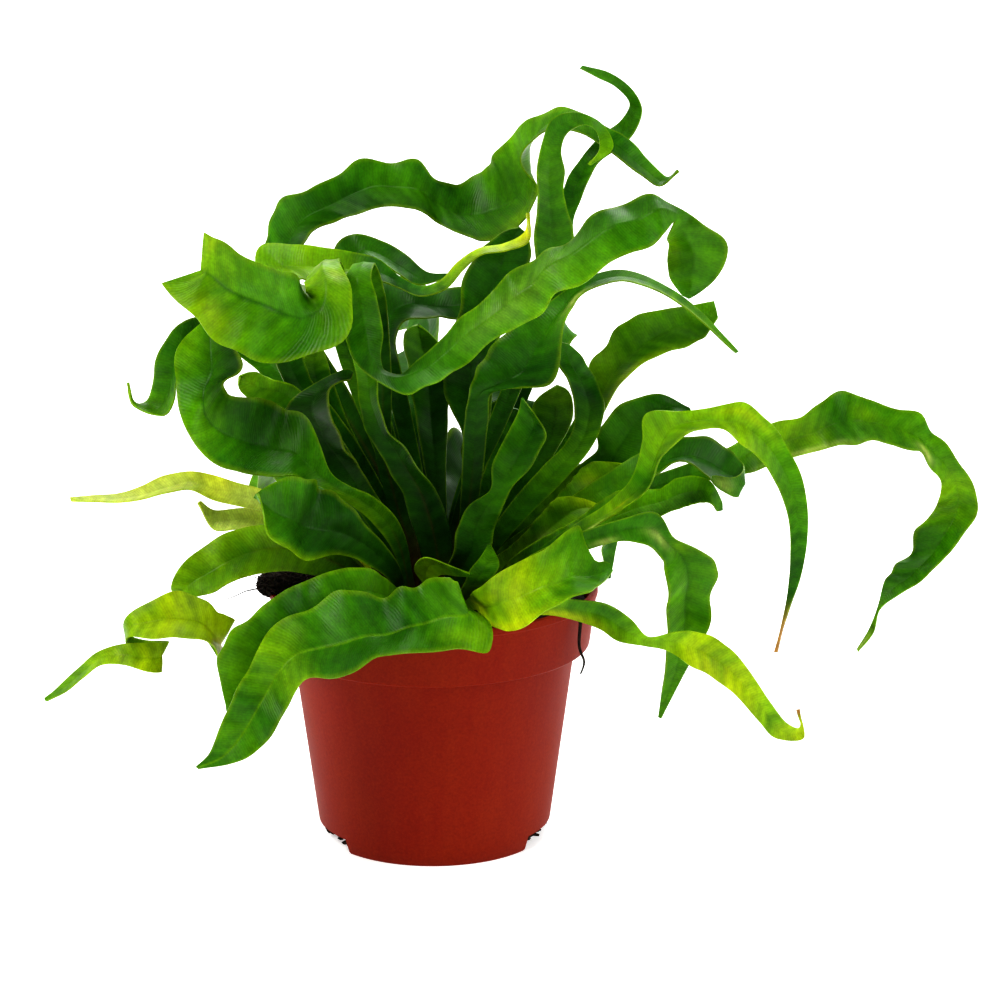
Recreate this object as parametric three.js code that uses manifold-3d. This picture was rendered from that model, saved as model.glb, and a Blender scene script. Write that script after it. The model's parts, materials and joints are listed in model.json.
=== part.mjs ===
// A bird's nest fern of the twisted, wavy-fronded kind, growing in a 12 cm plastic nursery pot.
// Millimetres, +Z up. The origin is the centre of the pot's underside, and -Y is the plant's front.
import * as THREE from "three";
import { mergeVertices } from "three/addons/utils/BufferGeometryUtils.js";
import Module from "manifold-3d";

const wasm = await Module();
wasm.setup();

// Pot: a 12 cm nursery pot with a deep collar and a raised floor.
const POT = {
  rimRadius: 60.6,
  height: 95,
  collarHeight: 22,
  collarFootRadius: 57.8,
  shoulderRadius: 52.3,
  baseRadius: 42.6,
  wall: 1.2,
  floorHeight: 5,
  footWidth: 2.4,
  centreFootRadius: 10,
  sides: 56,
};
const NOTCH = { headings: [-160, -14, 92], widthDeg: 46, height: 5.4 };
const DRAIN = { count: 6, radius: 3.2, circle: 26 };

// Growing medium: peat with a mat of roots that bulges over the collar at the left.
const SOIL = { gap: 0.45, edgeHeight: 88.5, moundHeight: 90, sides: 40 };
const ROOT_MAT = { centre: [-53.6, -2, 95.4], size: [10.4, 13, 5.8] };
const HANGING_ROOT = { radius: 0.7, sides: 6, steps: 15 };
const CROWN = { radius: 27, height: 96.5, depth: 80, sides: 28 };
const HOLE_GAP = 0.35;

// Fronds: blade thickness, petiole size and how finely each one is divided.
const BLADE = { thickness: 0.8, petioleWidth: 4.4, petioleThickness: 1.5, step: 9, tipWidth: 1.2 };
const ROOT_Z = 89;
const CLEARANCE = 2.2;

// The rib's fold as a share of the width, and the ruffle, which grows over these shares of the
// length and these widths. The right edge's ruffle lags behind the left one's by a part of a turn.
const FOLD = { share: 0.09, widths: [4, 12] };
const RUFFLE = { shares: [0.1, 0.35], widths: [4, 20], lag: 0.38 };

// A swept frond: how many parts it is drawn in, where it opens and where it tapers.
const SWEEP = { parts: 18, opens: [0.05, 0.4], sways: [0.1, 0.5], tapersFrom: 0.6, taperPower: 1.6 };

// How touching fronds are parted: the cell of the sorting grid in pixels, the most rounds, the
// longest move of a round in mm, and how near to the full clearance is near enough.
const PARTING = { cell: 3.2, rounds: 120, longest: 6, enough: 0.3, collarReach: 14, fixedStations: 5 };

// How traced blades lean, in degrees: back by their upper edge, and round by waves of yaw.
const LEAN = { back: 34, yaw: 24, yawPlaces: 11, most: 62 };

// The fronds are traced from one viewpoint, in front of the pot and a little above it.
// A traced place is [across, down] in that view's pixels, and [away] in millimetres along +Y.
const VIEW = {
  focalPx: 3500,
  middlePx: 500,
  pxPerMm: 2.7,
  pitchDeg: 15,
  eye: new THREE.Vector3(24.5, -1237.5, 458.3),
};

const PALETTE = {
  pot: 0xa8321c,
  soil: 0x1d120b,
  crown: 0x2a2012,
  root: 0x33180f,
  light: 0x5fa512,
  yellow: 0xa8c916,
  mid: 0x3c8a12,
  dark: 0x1f5f10,
};

// Each frond: its root on the crown [x, y], then places along it from the root outwards, each
// [left across, left down, right across, right down, away, turn]. Left and right are the blade's
// two edges as seen, and turn is how many degrees the right edge is swung back. wave is
// [edge rise in mm, ruffle length in mm, phase in turns]. The list runs from front to back, and
// stem says how many places at a frond's root lie behind a later frond.
const TRACED = [
  {
    name: "frond_front_yellow", tone: "yellow", root: [9, -21.5], wave: [1.6, 42, 0.1],
    stem: [2.2, "frond_front_left_long"],
    places: [[470, 597, 476, 609, -42, 0], [475, 591, 493, 627, -62, 0], [498, 574, 511, 630, -70, 0],
      [525, 558, 531, 624, -73, 0], [555, 547, 558, 610, -72, -10], [580, 530, 582, 599, -70, -20],
      [586, 558, 599, 589, -67, -20], [610, 564, 613, 571, -64, 0]],
  },
  {
    name: "frond_front_left_long", tone: "light", root: [1, -22.5], wave: [1.8, 50, 0.55],
    places: [[456, 612, 448, 600, -44, 0], [482, 619, 456, 588, -60, 0], [500, 648, 459, 580, -66, 0],
      [482, 650, 446, 577, -68, 0], [463, 648, 436, 579, -69, 0], [440, 652, 420, 585, -70, 0],
      [412, 657, 398, 594, -72, 5],
      [380, 665, 362, 596, -74, 5], [352, 675, 330, 601, -76, 5], [325, 677, 300, 612, -78, 0],
      [306, 679, 275, 632, -80, 0], [296, 694, 255, 656, -82, 0], [284, 715, 240, 685, -84, 5],
      [268, 740, 227, 712, -86, 5], [246, 760, 212, 744, -88, 10], [222, 765, 208, 757, -89, 10],
      [198, 769, 196, 767, -89, 0]],
  },
  {
    name: "frond_right_low_tail", tone: "yellow", root: [20, -16.5], wave: [1.2, 40, 0.3],
    places: [[503, 598, 507, 611, -42, 30], [526, 599, 530, 614, -52, 30], [552, 598, 554, 615, -58, 30],
      [578, 600, 579, 621, -61, 35], [605, 603, 600, 629, -63, 35], [630, 618, 617, 641, -64, 35],
      [653, 639, 651, 647, -65, 60], [680, 631, 671, 652, -65, 40], [706, 634, 695, 669, -65, 15],
      [732, 650, 716, 679, -65, 10], [752, 675, 738, 698, -65, 10], [770, 702, 757, 719, -64, 20],
      [788, 724, 778, 739, -63, 30], [799, 728, 801, 741, -61, 20], [801, 724, 807, 727, -60, 20],
      [797, 710, 799, 709, -58, 0]],
  },
  {
    name: "frond_front_left_under", tone: "mid", root: [-6, -21], wave: [1.6, 46, 0.2],
    places: [[405, 608, 398, 590, -36, 10], [386, 610, 380, 577, -50, 10], [362, 618, 362, 566, -59, 10],
      [335, 634, 335, 572, -63, 5], [310, 650, 303, 584, -66, 5], [292, 668, 275, 601, -68, 0],
      [280, 690, 246, 620, -70, 0], [268, 708, 226, 645, -72, 0], [257, 718, 217, 676, -73, 0],
      [244, 722, 221, 695, -74, 5], [229, 715, 227, 711, -74, 5]],
  },
  {
    name: "frond_front_small_left", tone: "mid", root: [-1.5, -17], wave: [0.5, 20, 0],
    places: [[424, 586, 438, 588, -24, 0], [414, 567, 437, 578, -28, 0], [420, 556, 440, 574, -31, 20],
      [437, 561, 447, 575, -33, 30], [470, 573, 471, 577, -36, 0]],
  },
  {
    name: "frond_front_small_right", tone: "mid", root: [6, -17], wave: [0.5, 20, 0.5],
    places: [[461, 590, 477, 588, -22, 0], [470, 570, 495, 574, -25, 0], [481, 556, 499, 561, -27, 10],
      [488, 545, 491, 545, -28, 0]],
  },
  {
    name: "frond_right_hanging_long", tone: "light", root: [20.5, -10], wave: [1.8, 48, 0.4],
    stem: [5, "frond_right_hanging_short"],
    places: [[506, 575, 516, 586, -22, -20], [540, 548, 548, 561, -32, -25], [572, 526, 580, 538, -40, -25],
      [602, 508, 609, 519, -47, -30], [625, 490, 634, 501, -53, -35], [640, 468, 653, 480, -58, -35],
      [642, 440, 667, 456, -61, -33], [648, 412, 686, 440, -64, -30], [680, 412, 704, 430, -66, -20],
      [708, 409, 724, 429, -67, -20],
      [731, 402, 736, 440, -69, 0], [757, 411, 750, 450, -70, 10], [780, 436, 763, 463, -71, 20],
      [797, 465, 776, 485, -72, 20], [806, 495, 785, 505, -72, 25], [808, 528, 790, 533, -72, 30],
      [805, 558, 790, 562, -72, 30], [797, 590, 788, 590, -71, 40], [787, 614, 784, 616, -71, 40],
      [777, 652, 775, 652, -70, 10]],
  },
  {
    name: "frond_right_hanging_short", tone: "mid", root: [11, -13.5], wave: [1, 38, 0.7],
    stem: [3, "frond_front_small_right"],
    places: [[490, 586, 498, 598, -28, 10], [520, 562, 530, 578, -36, 20], [565, 538, 572, 556, -42, 30],
      [605, 524, 610, 543, -46, 30], [638, 515, 637, 542, -48, 20], [663, 511, 654, 550, -49, 10],
      [675, 520, 661, 557, -50, 0], [680, 543, 663, 562, -50, 0], [703, 552, 664, 567, -50, 0],
      [719, 556, 664, 578, -50, 0], [714, 582, 664, 595, -49, 0], [709, 610, 666, 616, -48, 0],
      [703, 634, 667, 641, -48, 5], [690, 662, 665, 669, -47, 10], [676, 690, 661, 695, -46, 20],
      [661, 718, 659, 717, -45, 0]],
  },
  {
    name: "frond_right_cup", tone: "mid", root: [14.5, -3], wave: [0.8, 30, 0.5],
    stem: [7, "frond_right_mid_low"],
    places: [[500, 548, 510, 562, -8, 0], [545, 515, 552, 534, -12, 0], [590, 484, 598, 506, -16, 0],
      [625, 463, 636, 486, -20, -10], [655, 448, 664, 470, -24, -20], [682, 440, 688, 467, -28, -20],
      [704, 440, 703, 472, -32, -20], [724, 450, 714, 482, -37, -20], [740, 460, 731, 492, -43, -20],
      [744, 472, 743, 498, -49, 0], [727, 478, 727, 495, -54, 20], [708, 474, 713, 486, -54, 20]],
  },
  {
    name: "frond_right_ruffled", tone: "light", root: [21, -4], wave: [2.4, 24, 0.1],
    places: [[508, 562, 515, 576, -12, 10], [542, 538, 550, 560, -22, 10], [575, 520, 582, 550, -28, 5],
      [603, 500, 609, 541, -33, 0], [630, 488, 640, 526, -36, 0], [655, 490, 664, 515, -38, 10],
      [675, 480, 685, 507, -40, 10], [695, 474, 703, 503, -41, 10], [716, 487, 713, 504, -41, 10],
      [725, 507, 719, 514, -41, 0]],
  },
  {
    name: "frond_left_cup", tone: "mid", root: [-13.5, -13.5], wave: [1.4, 56, 0.8],
    places: [[394, 586, 402, 572, -26, -10], [373, 567, 388, 549, -31, -10], [348, 556, 368, 527, -35, -10],
      [325, 555, 347, 505, -38, 0], [300, 560, 322, 489, -41, 0], [276, 545, 298, 480, -42, 0],
      [259, 527, 276, 479, -42, 5], [253, 506, 260, 480, -39, 20]],
  },
  {
    name: "frond_center_right_upright", tone: "mid", root: [3, -12], wave: [1.8, 32, 0.3],
    places: [[445, 575, 466, 578, -16, 0], [453, 550, 489, 553, -19, 0], [457, 528, 494, 530, -20, 0],
      [466, 508, 502, 512, -21, 0], [488, 495, 509, 492, -21, 10], [492, 470, 525, 474, -21, 5],
      [504, 441, 541, 449, -21, 0], [515, 420, 549, 434, -20, -10], [519, 405, 535, 416, -18, -20],
      [522, 398, 524, 400, -16, 0]],
  },
  {
    name: "frond_right_mid_low", tone: "mid", root: [13, -8], wave: [1.4, 30, 0.2],
    places: [[490, 562, 500, 572, -10, 0], [518, 540, 534, 557, -14, 0], [543, 512, 563, 540, -18, 0],
      [563, 496, 590, 523, -20, 0], [597, 501, 608, 513, -21, 0]],
  },
  {
    name: "frond_upright_top_left", tone: "light", root: [0, -7.5], wave: [1.6, 58, 0.35],
    stem: [12, "frond_big_diagonal"],
    places: [[428, 578, 449, 573, -10, -5], [420, 549, 452, 543, -12, -5], [411, 518, 446, 514, -13, -8],
      [399, 486, 431, 483, -13, -10], [384, 456, 409, 455, -13, -15], [366, 428, 389, 428, -13, -25],
      [358, 400, 379, 398, -13, -25], [357, 374, 378, 370, -13, -25], [346, 340, 367, 332, -15, -25],
      [331, 305, 352, 296, -22, -20], [317, 275, 343, 266, -34, -10], [312, 266, 340, 259, -46, 0],
      [304, 281, 341, 267, -55, 0],
      [304, 288, 350, 290, -60, 0], [306, 292, 350, 318, -62, 0], [303, 292, 334, 345, -63, 0],
      [299, 290, 303, 357, -64, 0], [292, 276, 270, 358, -65, 0], [270, 266, 240, 350, -66, 0],
      [246, 254, 211, 332, -67, 0], [223, 240, 187, 311, -68, 0], [205, 233, 162, 283, -69, 0]],
  },
  {
    name: "frond_big_diagonal", tone: "mid", root: [-7, -4.5], wave: [1.8, 56, 0.15],
    stem: [6.5, "frond_center_hood"],
    places: [[405, 560, 420, 556, -4, -10], [388, 505, 405, 500, 0, -10], [374, 445, 392, 442, 2, -10],
      [374, 395, 392, 392, 2, -10], [372, 348, 390, 345, 0, -10], [366, 303, 386, 299, -6, -10],
      [358, 274, 378, 270, -16, 0], [353, 265, 374, 263, -26, 0], [345, 284, 371, 280, -34, 0],
      [345, 316, 380, 312, -39, 0], [350, 352, 382, 341, -43, 10], [368, 369, 380, 360, -46, 30],
      [385, 386, 386, 373, -48, 30], [402, 392, 399, 369, -50, 20], [425, 388, 416, 361, -51, 5],
      [447, 377, 433, 345, -52, 0], [465, 362, 450, 325, -52, 0], [487, 345, 470, 312, -52, 0],
      [508, 329, 490, 295, -52, 0], [530, 324, 507, 274, -52, 0], [546, 307, 527, 260, -52, 0],
      [562, 289, 546, 245, -52, 0], [586, 280, 567, 233, -51, 5], [606, 256, 590, 221, -50, 0],
      [635, 249, 612, 208, -48, 5], [657, 240, 637, 200, -46, 0], [670, 227, 662, 193, -44, 0],
      [674, 222, 679, 207, -41, 20], [667, 238, 706, 229, -37, 0], [666, 256, 726, 251, -34, 0],
      [669, 278, 716, 277, -31, 10], [684, 299, 694, 297, -28, 0]],
  },
  {
    name: "frond_left_big_arch", tone: "light", root: [-7, -13], wave: [1.8, 60, 0.6],
    stem: [8, "frond_left_cup"],
    places: [[402, 580, 411, 566, -17, -10], [394, 553, 407, 543, -20, -12], [378, 528, 395, 516, -24, -15],
      [356, 508, 373, 497, -29, -15], [333, 494, 345, 483, -34, -10], [313, 484, 325, 466, -38, 0],
      [297, 481, 312, 432, -41, 0], [275, 480, 294, 410, -43, 0], [246, 479, 270, 404, -45, 0],
      [219, 470, 248, 396, -46, 0], [197, 449, 232, 395, -46, 5], [183, 420, 222, 389, -44, 10],
      [176, 392, 232, 379, -41, 10], [176, 368, 244, 367, -38, 10], [182, 345, 239, 351, -34, 10],
      [194, 328, 220, 335, -30, 20], [205, 320, 211, 322, -27, 0]],
  },
  {
    name: "frond_left_low_spiral", tone: "light", root: [-20, -10], wave: [1.2, 44, 0.9],
    places: [[362, 590, 368, 572, -14, -20], [336, 580, 342, 550, -18, -20], [306, 573, 312, 533, -21, -20],
      [278, 571, 280, 526, -24, -15], [250, 577, 245, 527, -27, -10], [228, 586, 215, 541, -30, 0],
      [208, 594, 188, 560, -32, 0], [190, 597, 173, 582, -32, 0], [190, 608, 174, 592, -27, 0],
      [203, 632, 193, 600, -24, 0], [218, 657, 213, 612, -25, 0], [227, 671, 228, 622, -30, 0],
      [221, 663, 224, 620, -37, 0], [208, 645, 208, 604, -43, 0], [187, 641, 188, 592, -47, 0],
      [163, 640, 163, 598, -49, 0], [143, 638, 143, 604, -50, 0], [128, 637, 125, 620, -48, 0],
      [127, 645, 126, 633, -43, 0], [142, 664, 144, 640, -40, 0], [160, 671, 170, 641, -42, 0],
      [156, 672, 160, 644, -47, 0], [140, 671, 140, 643, -49, 0], [120, 664, 118, 645, -48, 0],
      [101, 665, 98, 653, -46, 20], [84, 678, 78, 668, -44, 20], [63, 694, 58, 688, -42, 20],
      [46, 701, 45, 699, -41, 0]],
  },
  {
    name: "frond_left_yellow_thin", tone: "yellow", root: [-21, -4], wave: [0.9, 40, 0.4],
    places: [[362, 572, 367, 560, -6, 10], [330, 545, 335, 530, -8, 15], [296, 522, 300, 505, -10, 15],
      [262, 511, 262, 490, -12, 10], [232, 505, 235, 482, -14, 0], [205, 498, 207, 474, -15, 0],
      [184, 488, 183, 472, -16, 20], [160, 496, 157, 481, -16, 30], [132, 502, 130, 492, -17, 40],
      [102, 502, 100, 495, -17, 40], [71, 501, 70, 498, -17, 0]],
  },
  {
    name: "frond_left_yellow_short", tone: "yellow", root: [-21, 3], wave: [0.8, 34, 0.6],
    places: [[362, 580, 364, 566, -2, 0], [335, 562, 338, 546, -4, 0], [300, 545, 303, 526, -5, 0],
      [268, 530, 268, 508, -6, 0], [240, 529, 242, 508, -7, 0], [222, 535, 222, 511, -8, 0],
      [206, 520, 208, 509, -9, 15], [198, 503, 200, 501, -10, 0]],
  },
  {
    name: "frond_yellow_curl", tone: "yellow", root: [-1, -1.5], wave: [1.2, 50, 0.1],
    stem: [10, "frond_right_inner"],
    places: [[418, 552, 432, 550, 3, 0], [399, 500, 415, 497, 6, 0], [380, 445, 397, 441, 8, -5],
      [364, 392, 384, 388, 8, -10], [354, 348, 376, 342, 5, -20], [334, 310, 358, 303, 0, -20],
      [300, 294, 328, 296, -5, -20], [264, 278, 296, 284, -7, -20], [258, 254, 292, 276, -9, -20],
      [290, 249, 308, 276, -9, -15], [330, 250, 350, 282, -8, -10],
      [360, 253, 368, 282, -8, -10], [387, 264, 387, 284, -11, -10], [407, 282, 404, 290, -14, -20],
      [432, 286, 432, 297, -18, -20], [452, 269, 459, 276, -18, -30], [468, 252, 471, 259, -18, -30],
      [495, 246, 497, 252, -17, -30], [520, 238, 523, 247, -16, -20], [529, 224, 534, 230, -15, -20],
      [527, 213, 529, 213, -14, 0]],
  },
  {
    name: "frond_right_arc_thin", tone: "dark", root: [7, -6.5], wave: [1.5, 46, 0.2],
    places: [[455, 560, 467, 560, -8, 0], [460, 510, 477, 510, -8, 0], [462, 465, 484, 465, -8, 0],
      [464, 425, 488, 425, -8, 0], [470, 392, 496, 386, -10, 0], [482, 366, 540, 392, -12, 0],
      [500, 340, 560, 360, -13, 0], [525, 318, 571, 328, -13, -10], [552, 301, 575, 305, -12, -30],
      [580, 283, 584, 293, -10, -45], [610, 271, 611, 282, -8, -50], [645, 276, 641, 285, -6, -50],
      [675, 292, 670, 298, -4, -50], [700, 311, 695, 316, -2, -45], [720, 332, 716, 335, -1, -40],
      [738, 352, 736, 353, 0, 0]],
  },
  {
    name: "frond_center_hood", tone: "dark", root: [-13.5, -7], wave: [1.4, 52, 0.3],
    places: [[392, 570, 403, 562, -8, 0], [366, 522, 388, 515, -10, 0], [338, 482, 366, 478, -11, -5],
      [313, 452, 350, 452, -12, -10], [293, 430, 337, 428, -13, -10], [292, 410, 328, 404, -14, -15],
      [305, 396, 329, 388, -16, -25], [328, 378, 340, 381, -15, -25], [352, 367, 354, 379, -13, -10]],
  },
  {
    name: "frond_right_inner", tone: "dark", root: [13, 2], wave: [1.4, 38, 0.7],
    places: [[480, 548, 494, 556, 0, 0], [510, 504, 530, 514, 1, 0], [543, 466, 566, 478, 2, 0],
      [568, 440, 592, 446, 2, -5], [575, 411, 604, 413, 1, -5], [567, 382, 598, 385, 0, 0],
      [557, 360, 582, 355, -2, 10], [558, 344, 566, 341, -4, 0]],
  },
  {
    name: "frond_left_mid_fold", tone: "mid", root: [-14, -0.5], wave: [1, 34, 0.2],
    places: [[385, 553, 398, 547, 0, -5], [360, 505, 376, 497, 2, -10], [328, 455, 346, 445, 2, -20],
      [300, 425, 320, 412, 1, -20], [283, 407, 304, 393, 0, -20], [267, 402, 283, 380, -2, -20],
      [247, 398, 263, 376, -4, -10], [232, 386, 248, 367, -6, 0]],
  },
  {
    name: "frond_left_mid_dark", tone: "dark", root: [-8, 1.5], wave: [1, 32, 0.8],
    places: [[392, 540, 405, 536, 6, 0], [362, 485, 378, 478, 8, -5], [330, 438, 348, 428, 8, -10],
      [300, 405, 320, 392, 7, -15], [281, 377, 306, 370, 5, -10], [274, 358, 303, 355, 3, 0],
      [269, 343, 299, 341, 1, 0]],
  },
  {
    name: "frond_left_mid_tip", tone: "light", root: [-13.5, 5.5], wave: [1, 32, 0.8],
    places: [[388, 540, 400, 535, 12, 0], [362, 488, 378, 480, 14, -5], [332, 440, 352, 430, 13, -10],
      [308, 402, 332, 378, 11, -15], [301, 364, 328, 364, 8, 0], [311, 345, 322, 344, 6, 0]],
  },
  {
    name: "frond_right_mid", tone: "mid", root: [20, 3.5], wave: [1.4, 34, 0.6],
    places: [[505, 555, 515, 568, 0, 0], [535, 520, 550, 540, -2, 0], [565, 488, 588, 514, -4, 0],
      [588, 464, 624, 492, -5, 0], [612, 457, 644, 474, -6, 0]],
  },
  {
    name: "frond_right_dark_leaf", tone: "dark", root: [20, 9], wave: [1.6, 40, 0.9],
    places: [[495, 545, 508, 556, 6, -5], [528, 505, 545, 520, 6, -10], [565, 474, 585, 494, 5, -10],
      [595, 452, 622, 478, 3, -10], [601, 428, 645, 456, 1, -10], [618, 406, 660, 432, -1, -10],
      [650, 395, 672, 420, -3, -15], [676, 398, 684, 412, -5, -25], [690, 408, 691, 411, -7, 0]],
  },
  {
    name: "frond_upper_left_dark", tone: "dark", root: [-7, 7.5], wave: [1.2, 36, 0.5],
    places: [[402, 520, 414, 516, 14, 0], [376, 455, 392, 450, 17, 0], [352, 395, 370, 388, 17, -5],
      [334, 340, 354, 332, 14, -15], [328, 295, 350, 300, 9, -20], [335, 256, 352, 283, 4, -20],
      [352, 237, 362, 263, 0, -15], [380, 240, 380, 264, -3, -15], [400, 250, 396, 275, -5, -15],
      [421, 270, 412, 285, -6, -20], [448, 274, 447, 278, -7, 0]],
  },
  {
    name: "frond_top_center", tone: "mid", root: [4, -0.5], wave: [1.6, 36, 0.6],
    places: [[446, 548, 458, 548, 3, 0], [460, 490, 475, 490, 4, 0], [484, 432, 502, 434, 4, 0],
      [508, 372, 528, 374, 3, 0], [527, 318, 552, 320, 1, 0], [534, 276, 573, 278, -1, 0],
      [534, 240, 575, 243, -3, 0], [537, 212, 567, 212, -5, 5], [537, 190, 563, 190, -7, 5],
      [536, 165, 565, 164, -8, 5], [544, 138, 561, 146, -10, 10], [554, 117, 569, 132, -12, 15],
      [574, 112, 583, 125, -15, 20], [594, 118, 593, 128, -19, 20], [609, 132, 599, 138, -23, 10],
      [613, 149, 599, 150, -26, 0], [606, 163, 595, 158, -27, 0], [589, 166, 590, 163, -27, 0]],
  },
  {
    name: "frond_right_inner_light", tone: "light", root: [13, 7.5], wave: [1, 30, 0.5],
    places: [[478, 540, 490, 545, 10, 0], [500, 500, 515, 508, 11, 0], [525, 460, 545, 468, 11, 0],
      [540, 425, 566, 432, 10, 0], [538, 400, 571, 402, 9, 0], [548, 387, 567, 384, 8, 0]],
  },
  {
    name: "frond_center_fill", tone: "mid", root: [8.5, 3.5], wave: [1.4, 34, 0.1],
    places: [[462, 542, 474, 543, 8, 0], [474, 500, 492, 502, 10, 0], [488, 460, 512, 464, 11, 0],
      [498, 430, 524, 436, 11, 0], [512, 408, 518, 409, 10, 0]],
  },
  {
    name: "frond_right_far_arch", tone: "mid", root: [20.5, 14.5], wave: [1.8, 42, 0.75],
    places: [[512, 548, 520, 560, 14, 10], [550, 524, 556, 540, 12, 15], [600, 498, 606, 518, 10, 20],
      [650, 477, 657, 497, 7, 20], [695, 461, 702, 482, 5, 20], [735, 444, 742, 475, 3, 20],
      [765, 425, 775, 463, 2, 15], [800, 418, 805, 455, 1, 15], [828, 399, 838, 446, 0, 5],
      [852, 392, 862, 442, 0, 0], [884, 408, 885, 443, 0, 15], [915, 410, 903, 452, 0, 15],
      [937, 426, 924, 467, 0, 10], [946, 452, 937, 473, 0, 40], [965, 468, 941, 484, 0, 25],
      [977, 499, 938, 503, 0, 10], [971, 526, 925, 526, 0, 10], [955, 551, 910, 549, 0, 5],
      [930, 576, 893, 570, 0, 10], [900, 594, 884, 584, 0, 15], [884, 603, 880, 600, -1, 20],
      [876, 622, 873, 620, -2, 20], [871, 640, 866, 635, -3, 20], [858, 652, 857, 649, -4, 0]],
  },
  {
    name: "frond_right_round_leaf", tone: "light", root: [14.5, 13], wave: [1.4, 44, 0.4],
    places: [[490, 530, 502, 537, 18, 0], [532, 478, 548, 488, 19, -5], [568, 430, 588, 444, 18, -10],
      [591, 388, 608, 403, 16, -20], [596, 356, 629, 381, 13, -10], [617, 332, 655, 360, 11, -5],
      [648, 313, 690, 345, 8, 0], [680, 307, 707, 334, 5, 0], [714, 301, 718, 318, 2, 0]],
  },
  {
    name: "frond_back_center_dark", tone: "dark", root: [3.5, 7.5], wave: [1.8, 38, 0.5],
    places: [[448, 535, 460, 535, 14, 0], [464, 475, 482, 476, 19, 0], [460, 425, 489, 427, 21, 0],
      [444, 390, 492, 393, 22, 0], [448, 350, 497, 354, 22, 0], [459, 318, 503, 326, 22, 0],
      [462, 285, 520, 297, 21, -5], [476, 256, 529, 268, 20, -15], [492, 238, 531, 246, 19, -15],
      [510, 226, 528, 229, 18, -15]],
  },
  {
    name: "frond_back_arch", tone: "dark", root: [-9, 14.5], wave: [2.4, 42, 0.25],
    stem: [20, "frond_right_back_dark"],
    places: [[400, 530, 412, 526, 26, 0], [372, 475, 386, 468, 36, 0], [340, 425, 358, 415, 43, -5],
      [304, 370, 324, 358, 49, -8], [274, 316, 298, 304, 53, -10], [257, 266, 292, 264, 55, -10],
      [264, 238, 302, 248, 55, -10], [276, 207, 322, 231, 54, -10], [305, 195, 340, 219, 53, -8],
      [330, 180, 360, 212, 52, -5], [350, 164, 382, 209, 51, -5], [382, 162, 402, 209, 50, 0],
      [412, 161, 422, 214, 49, 0], [430, 178, 440, 222, 48, 5], [450, 187, 460, 235, 47, 0],
      [475, 173, 490, 244, 45, 0], [495, 166, 521, 232, 43, 0], [507, 150, 535, 208, 40, 0],
      [519, 132, 525, 180, 37, -10], [530, 120, 532, 148, 34, -15], [552, 108, 550, 133, 30, -15],
      [580, 113, 575, 131, 27, -15], [605, 127, 598, 143, 24, -15], [630, 139, 622, 162, 22, -15],
      [652, 163, 645, 179, 20, -20], [671, 180, 666, 187, 18, -20], [677, 170, 680, 171, 16, 0]],
  },
  {
    name: "frond_top_right_tip", tone: "mid", root: [8.5, 13], wave: [1.4, 34, 0.1],
    places: [[468, 520, 480, 521, 27, 0], [490, 450, 506, 452, 34, -5], [515, 385, 533, 387, 36, -5],
      [537, 325, 556, 327, 36, -5], [553, 268, 575, 270, 35, -5], [561, 220, 574, 214, 33, -5],
      [562, 190, 587, 190, 31, -5], [577, 165, 592, 170, 29, -10], [594, 145, 612, 152, 27, -10],
      [610, 128, 628, 142, 25, -10], [628, 114, 638, 124, 23, -10], [629, 100, 642, 106, 21, -10],
      [616, 87, 631, 88, 19, -10], [600, 79, 610, 73, 17, -15], [580, 68, 582, 66, 15, 0]],
  },
  {
    name: "frond_left_back_dark", tone: "dark", root: [-15.5, 11.5], wave: [1.4, 42, 0.5],
    places: [[384, 528, 396, 522, 22, 0], [352, 475, 368, 466, 27, -5], [318, 430, 336, 418, 30, -10],
      [278, 390, 296, 374, 31, -15], [238, 355, 254, 336, 28, -20], [206, 345, 213, 318, 22, -20],
      [188, 350, 186, 319, 16, -15], [182, 372, 167, 339, 12, -10], [180, 395, 157, 368, 10, 0],
      [172, 412, 151, 392, 9, 10], [152, 418, 143, 403, 8, 15], [135, 410, 138, 402, 7, 5],
      [127, 398, 131, 396, 6, 0], [127, 383, 129, 383, 5, 0]],
  },
  {
    name: "frond_back_cross_dark", tone: "dark", root: [-2.5, 7], wave: [1.6, 38, 0.3],
    places: [[420, 530, 432, 528, 18, 0], [405, 465, 421, 462, 26, 0], [390, 402, 409, 402, 31, 0],
      [376, 345, 398, 352, 32, -5], [371, 302, 402, 326, 32, -10], [388, 283, 415, 318, 31, -10],
      [420, 288, 435, 319, 30, -5], [450, 288, 452, 321, 28, 0], [478, 287, 482, 318, 26, 0]],
  },
  {
    name: "frond_center_back_upright", tone: "dark", root: [-1.5, 13.5], wave: [1.8, 42, 0.9],
    places: [[433, 525, 446, 525, 28, 0], [424, 465, 446, 465, 40, 0], [414, 410, 448, 412, 47, 0],
      [407, 362, 448, 370, 50, 0], [401, 333, 440, 343, 50, 5], [408, 323, 428, 327, 48, 5]],
  },
  {
    name: "frond_right_back_dark", tone: "dark", root: [3.5, 14], wave: [1.6, 36, 0.4],
    places: [[448, 520, 461, 520, 32, 0], [464, 465, 482, 466, 42, 0], [478, 425, 500, 430, 43, -5],
      [496, 401, 519, 415, 41, -10], [527, 398, 537, 419, 38, -10], [553, 413, 548, 433, 34, -10],
      [566, 432, 551, 446, 31, -10]],
  },
];

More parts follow.
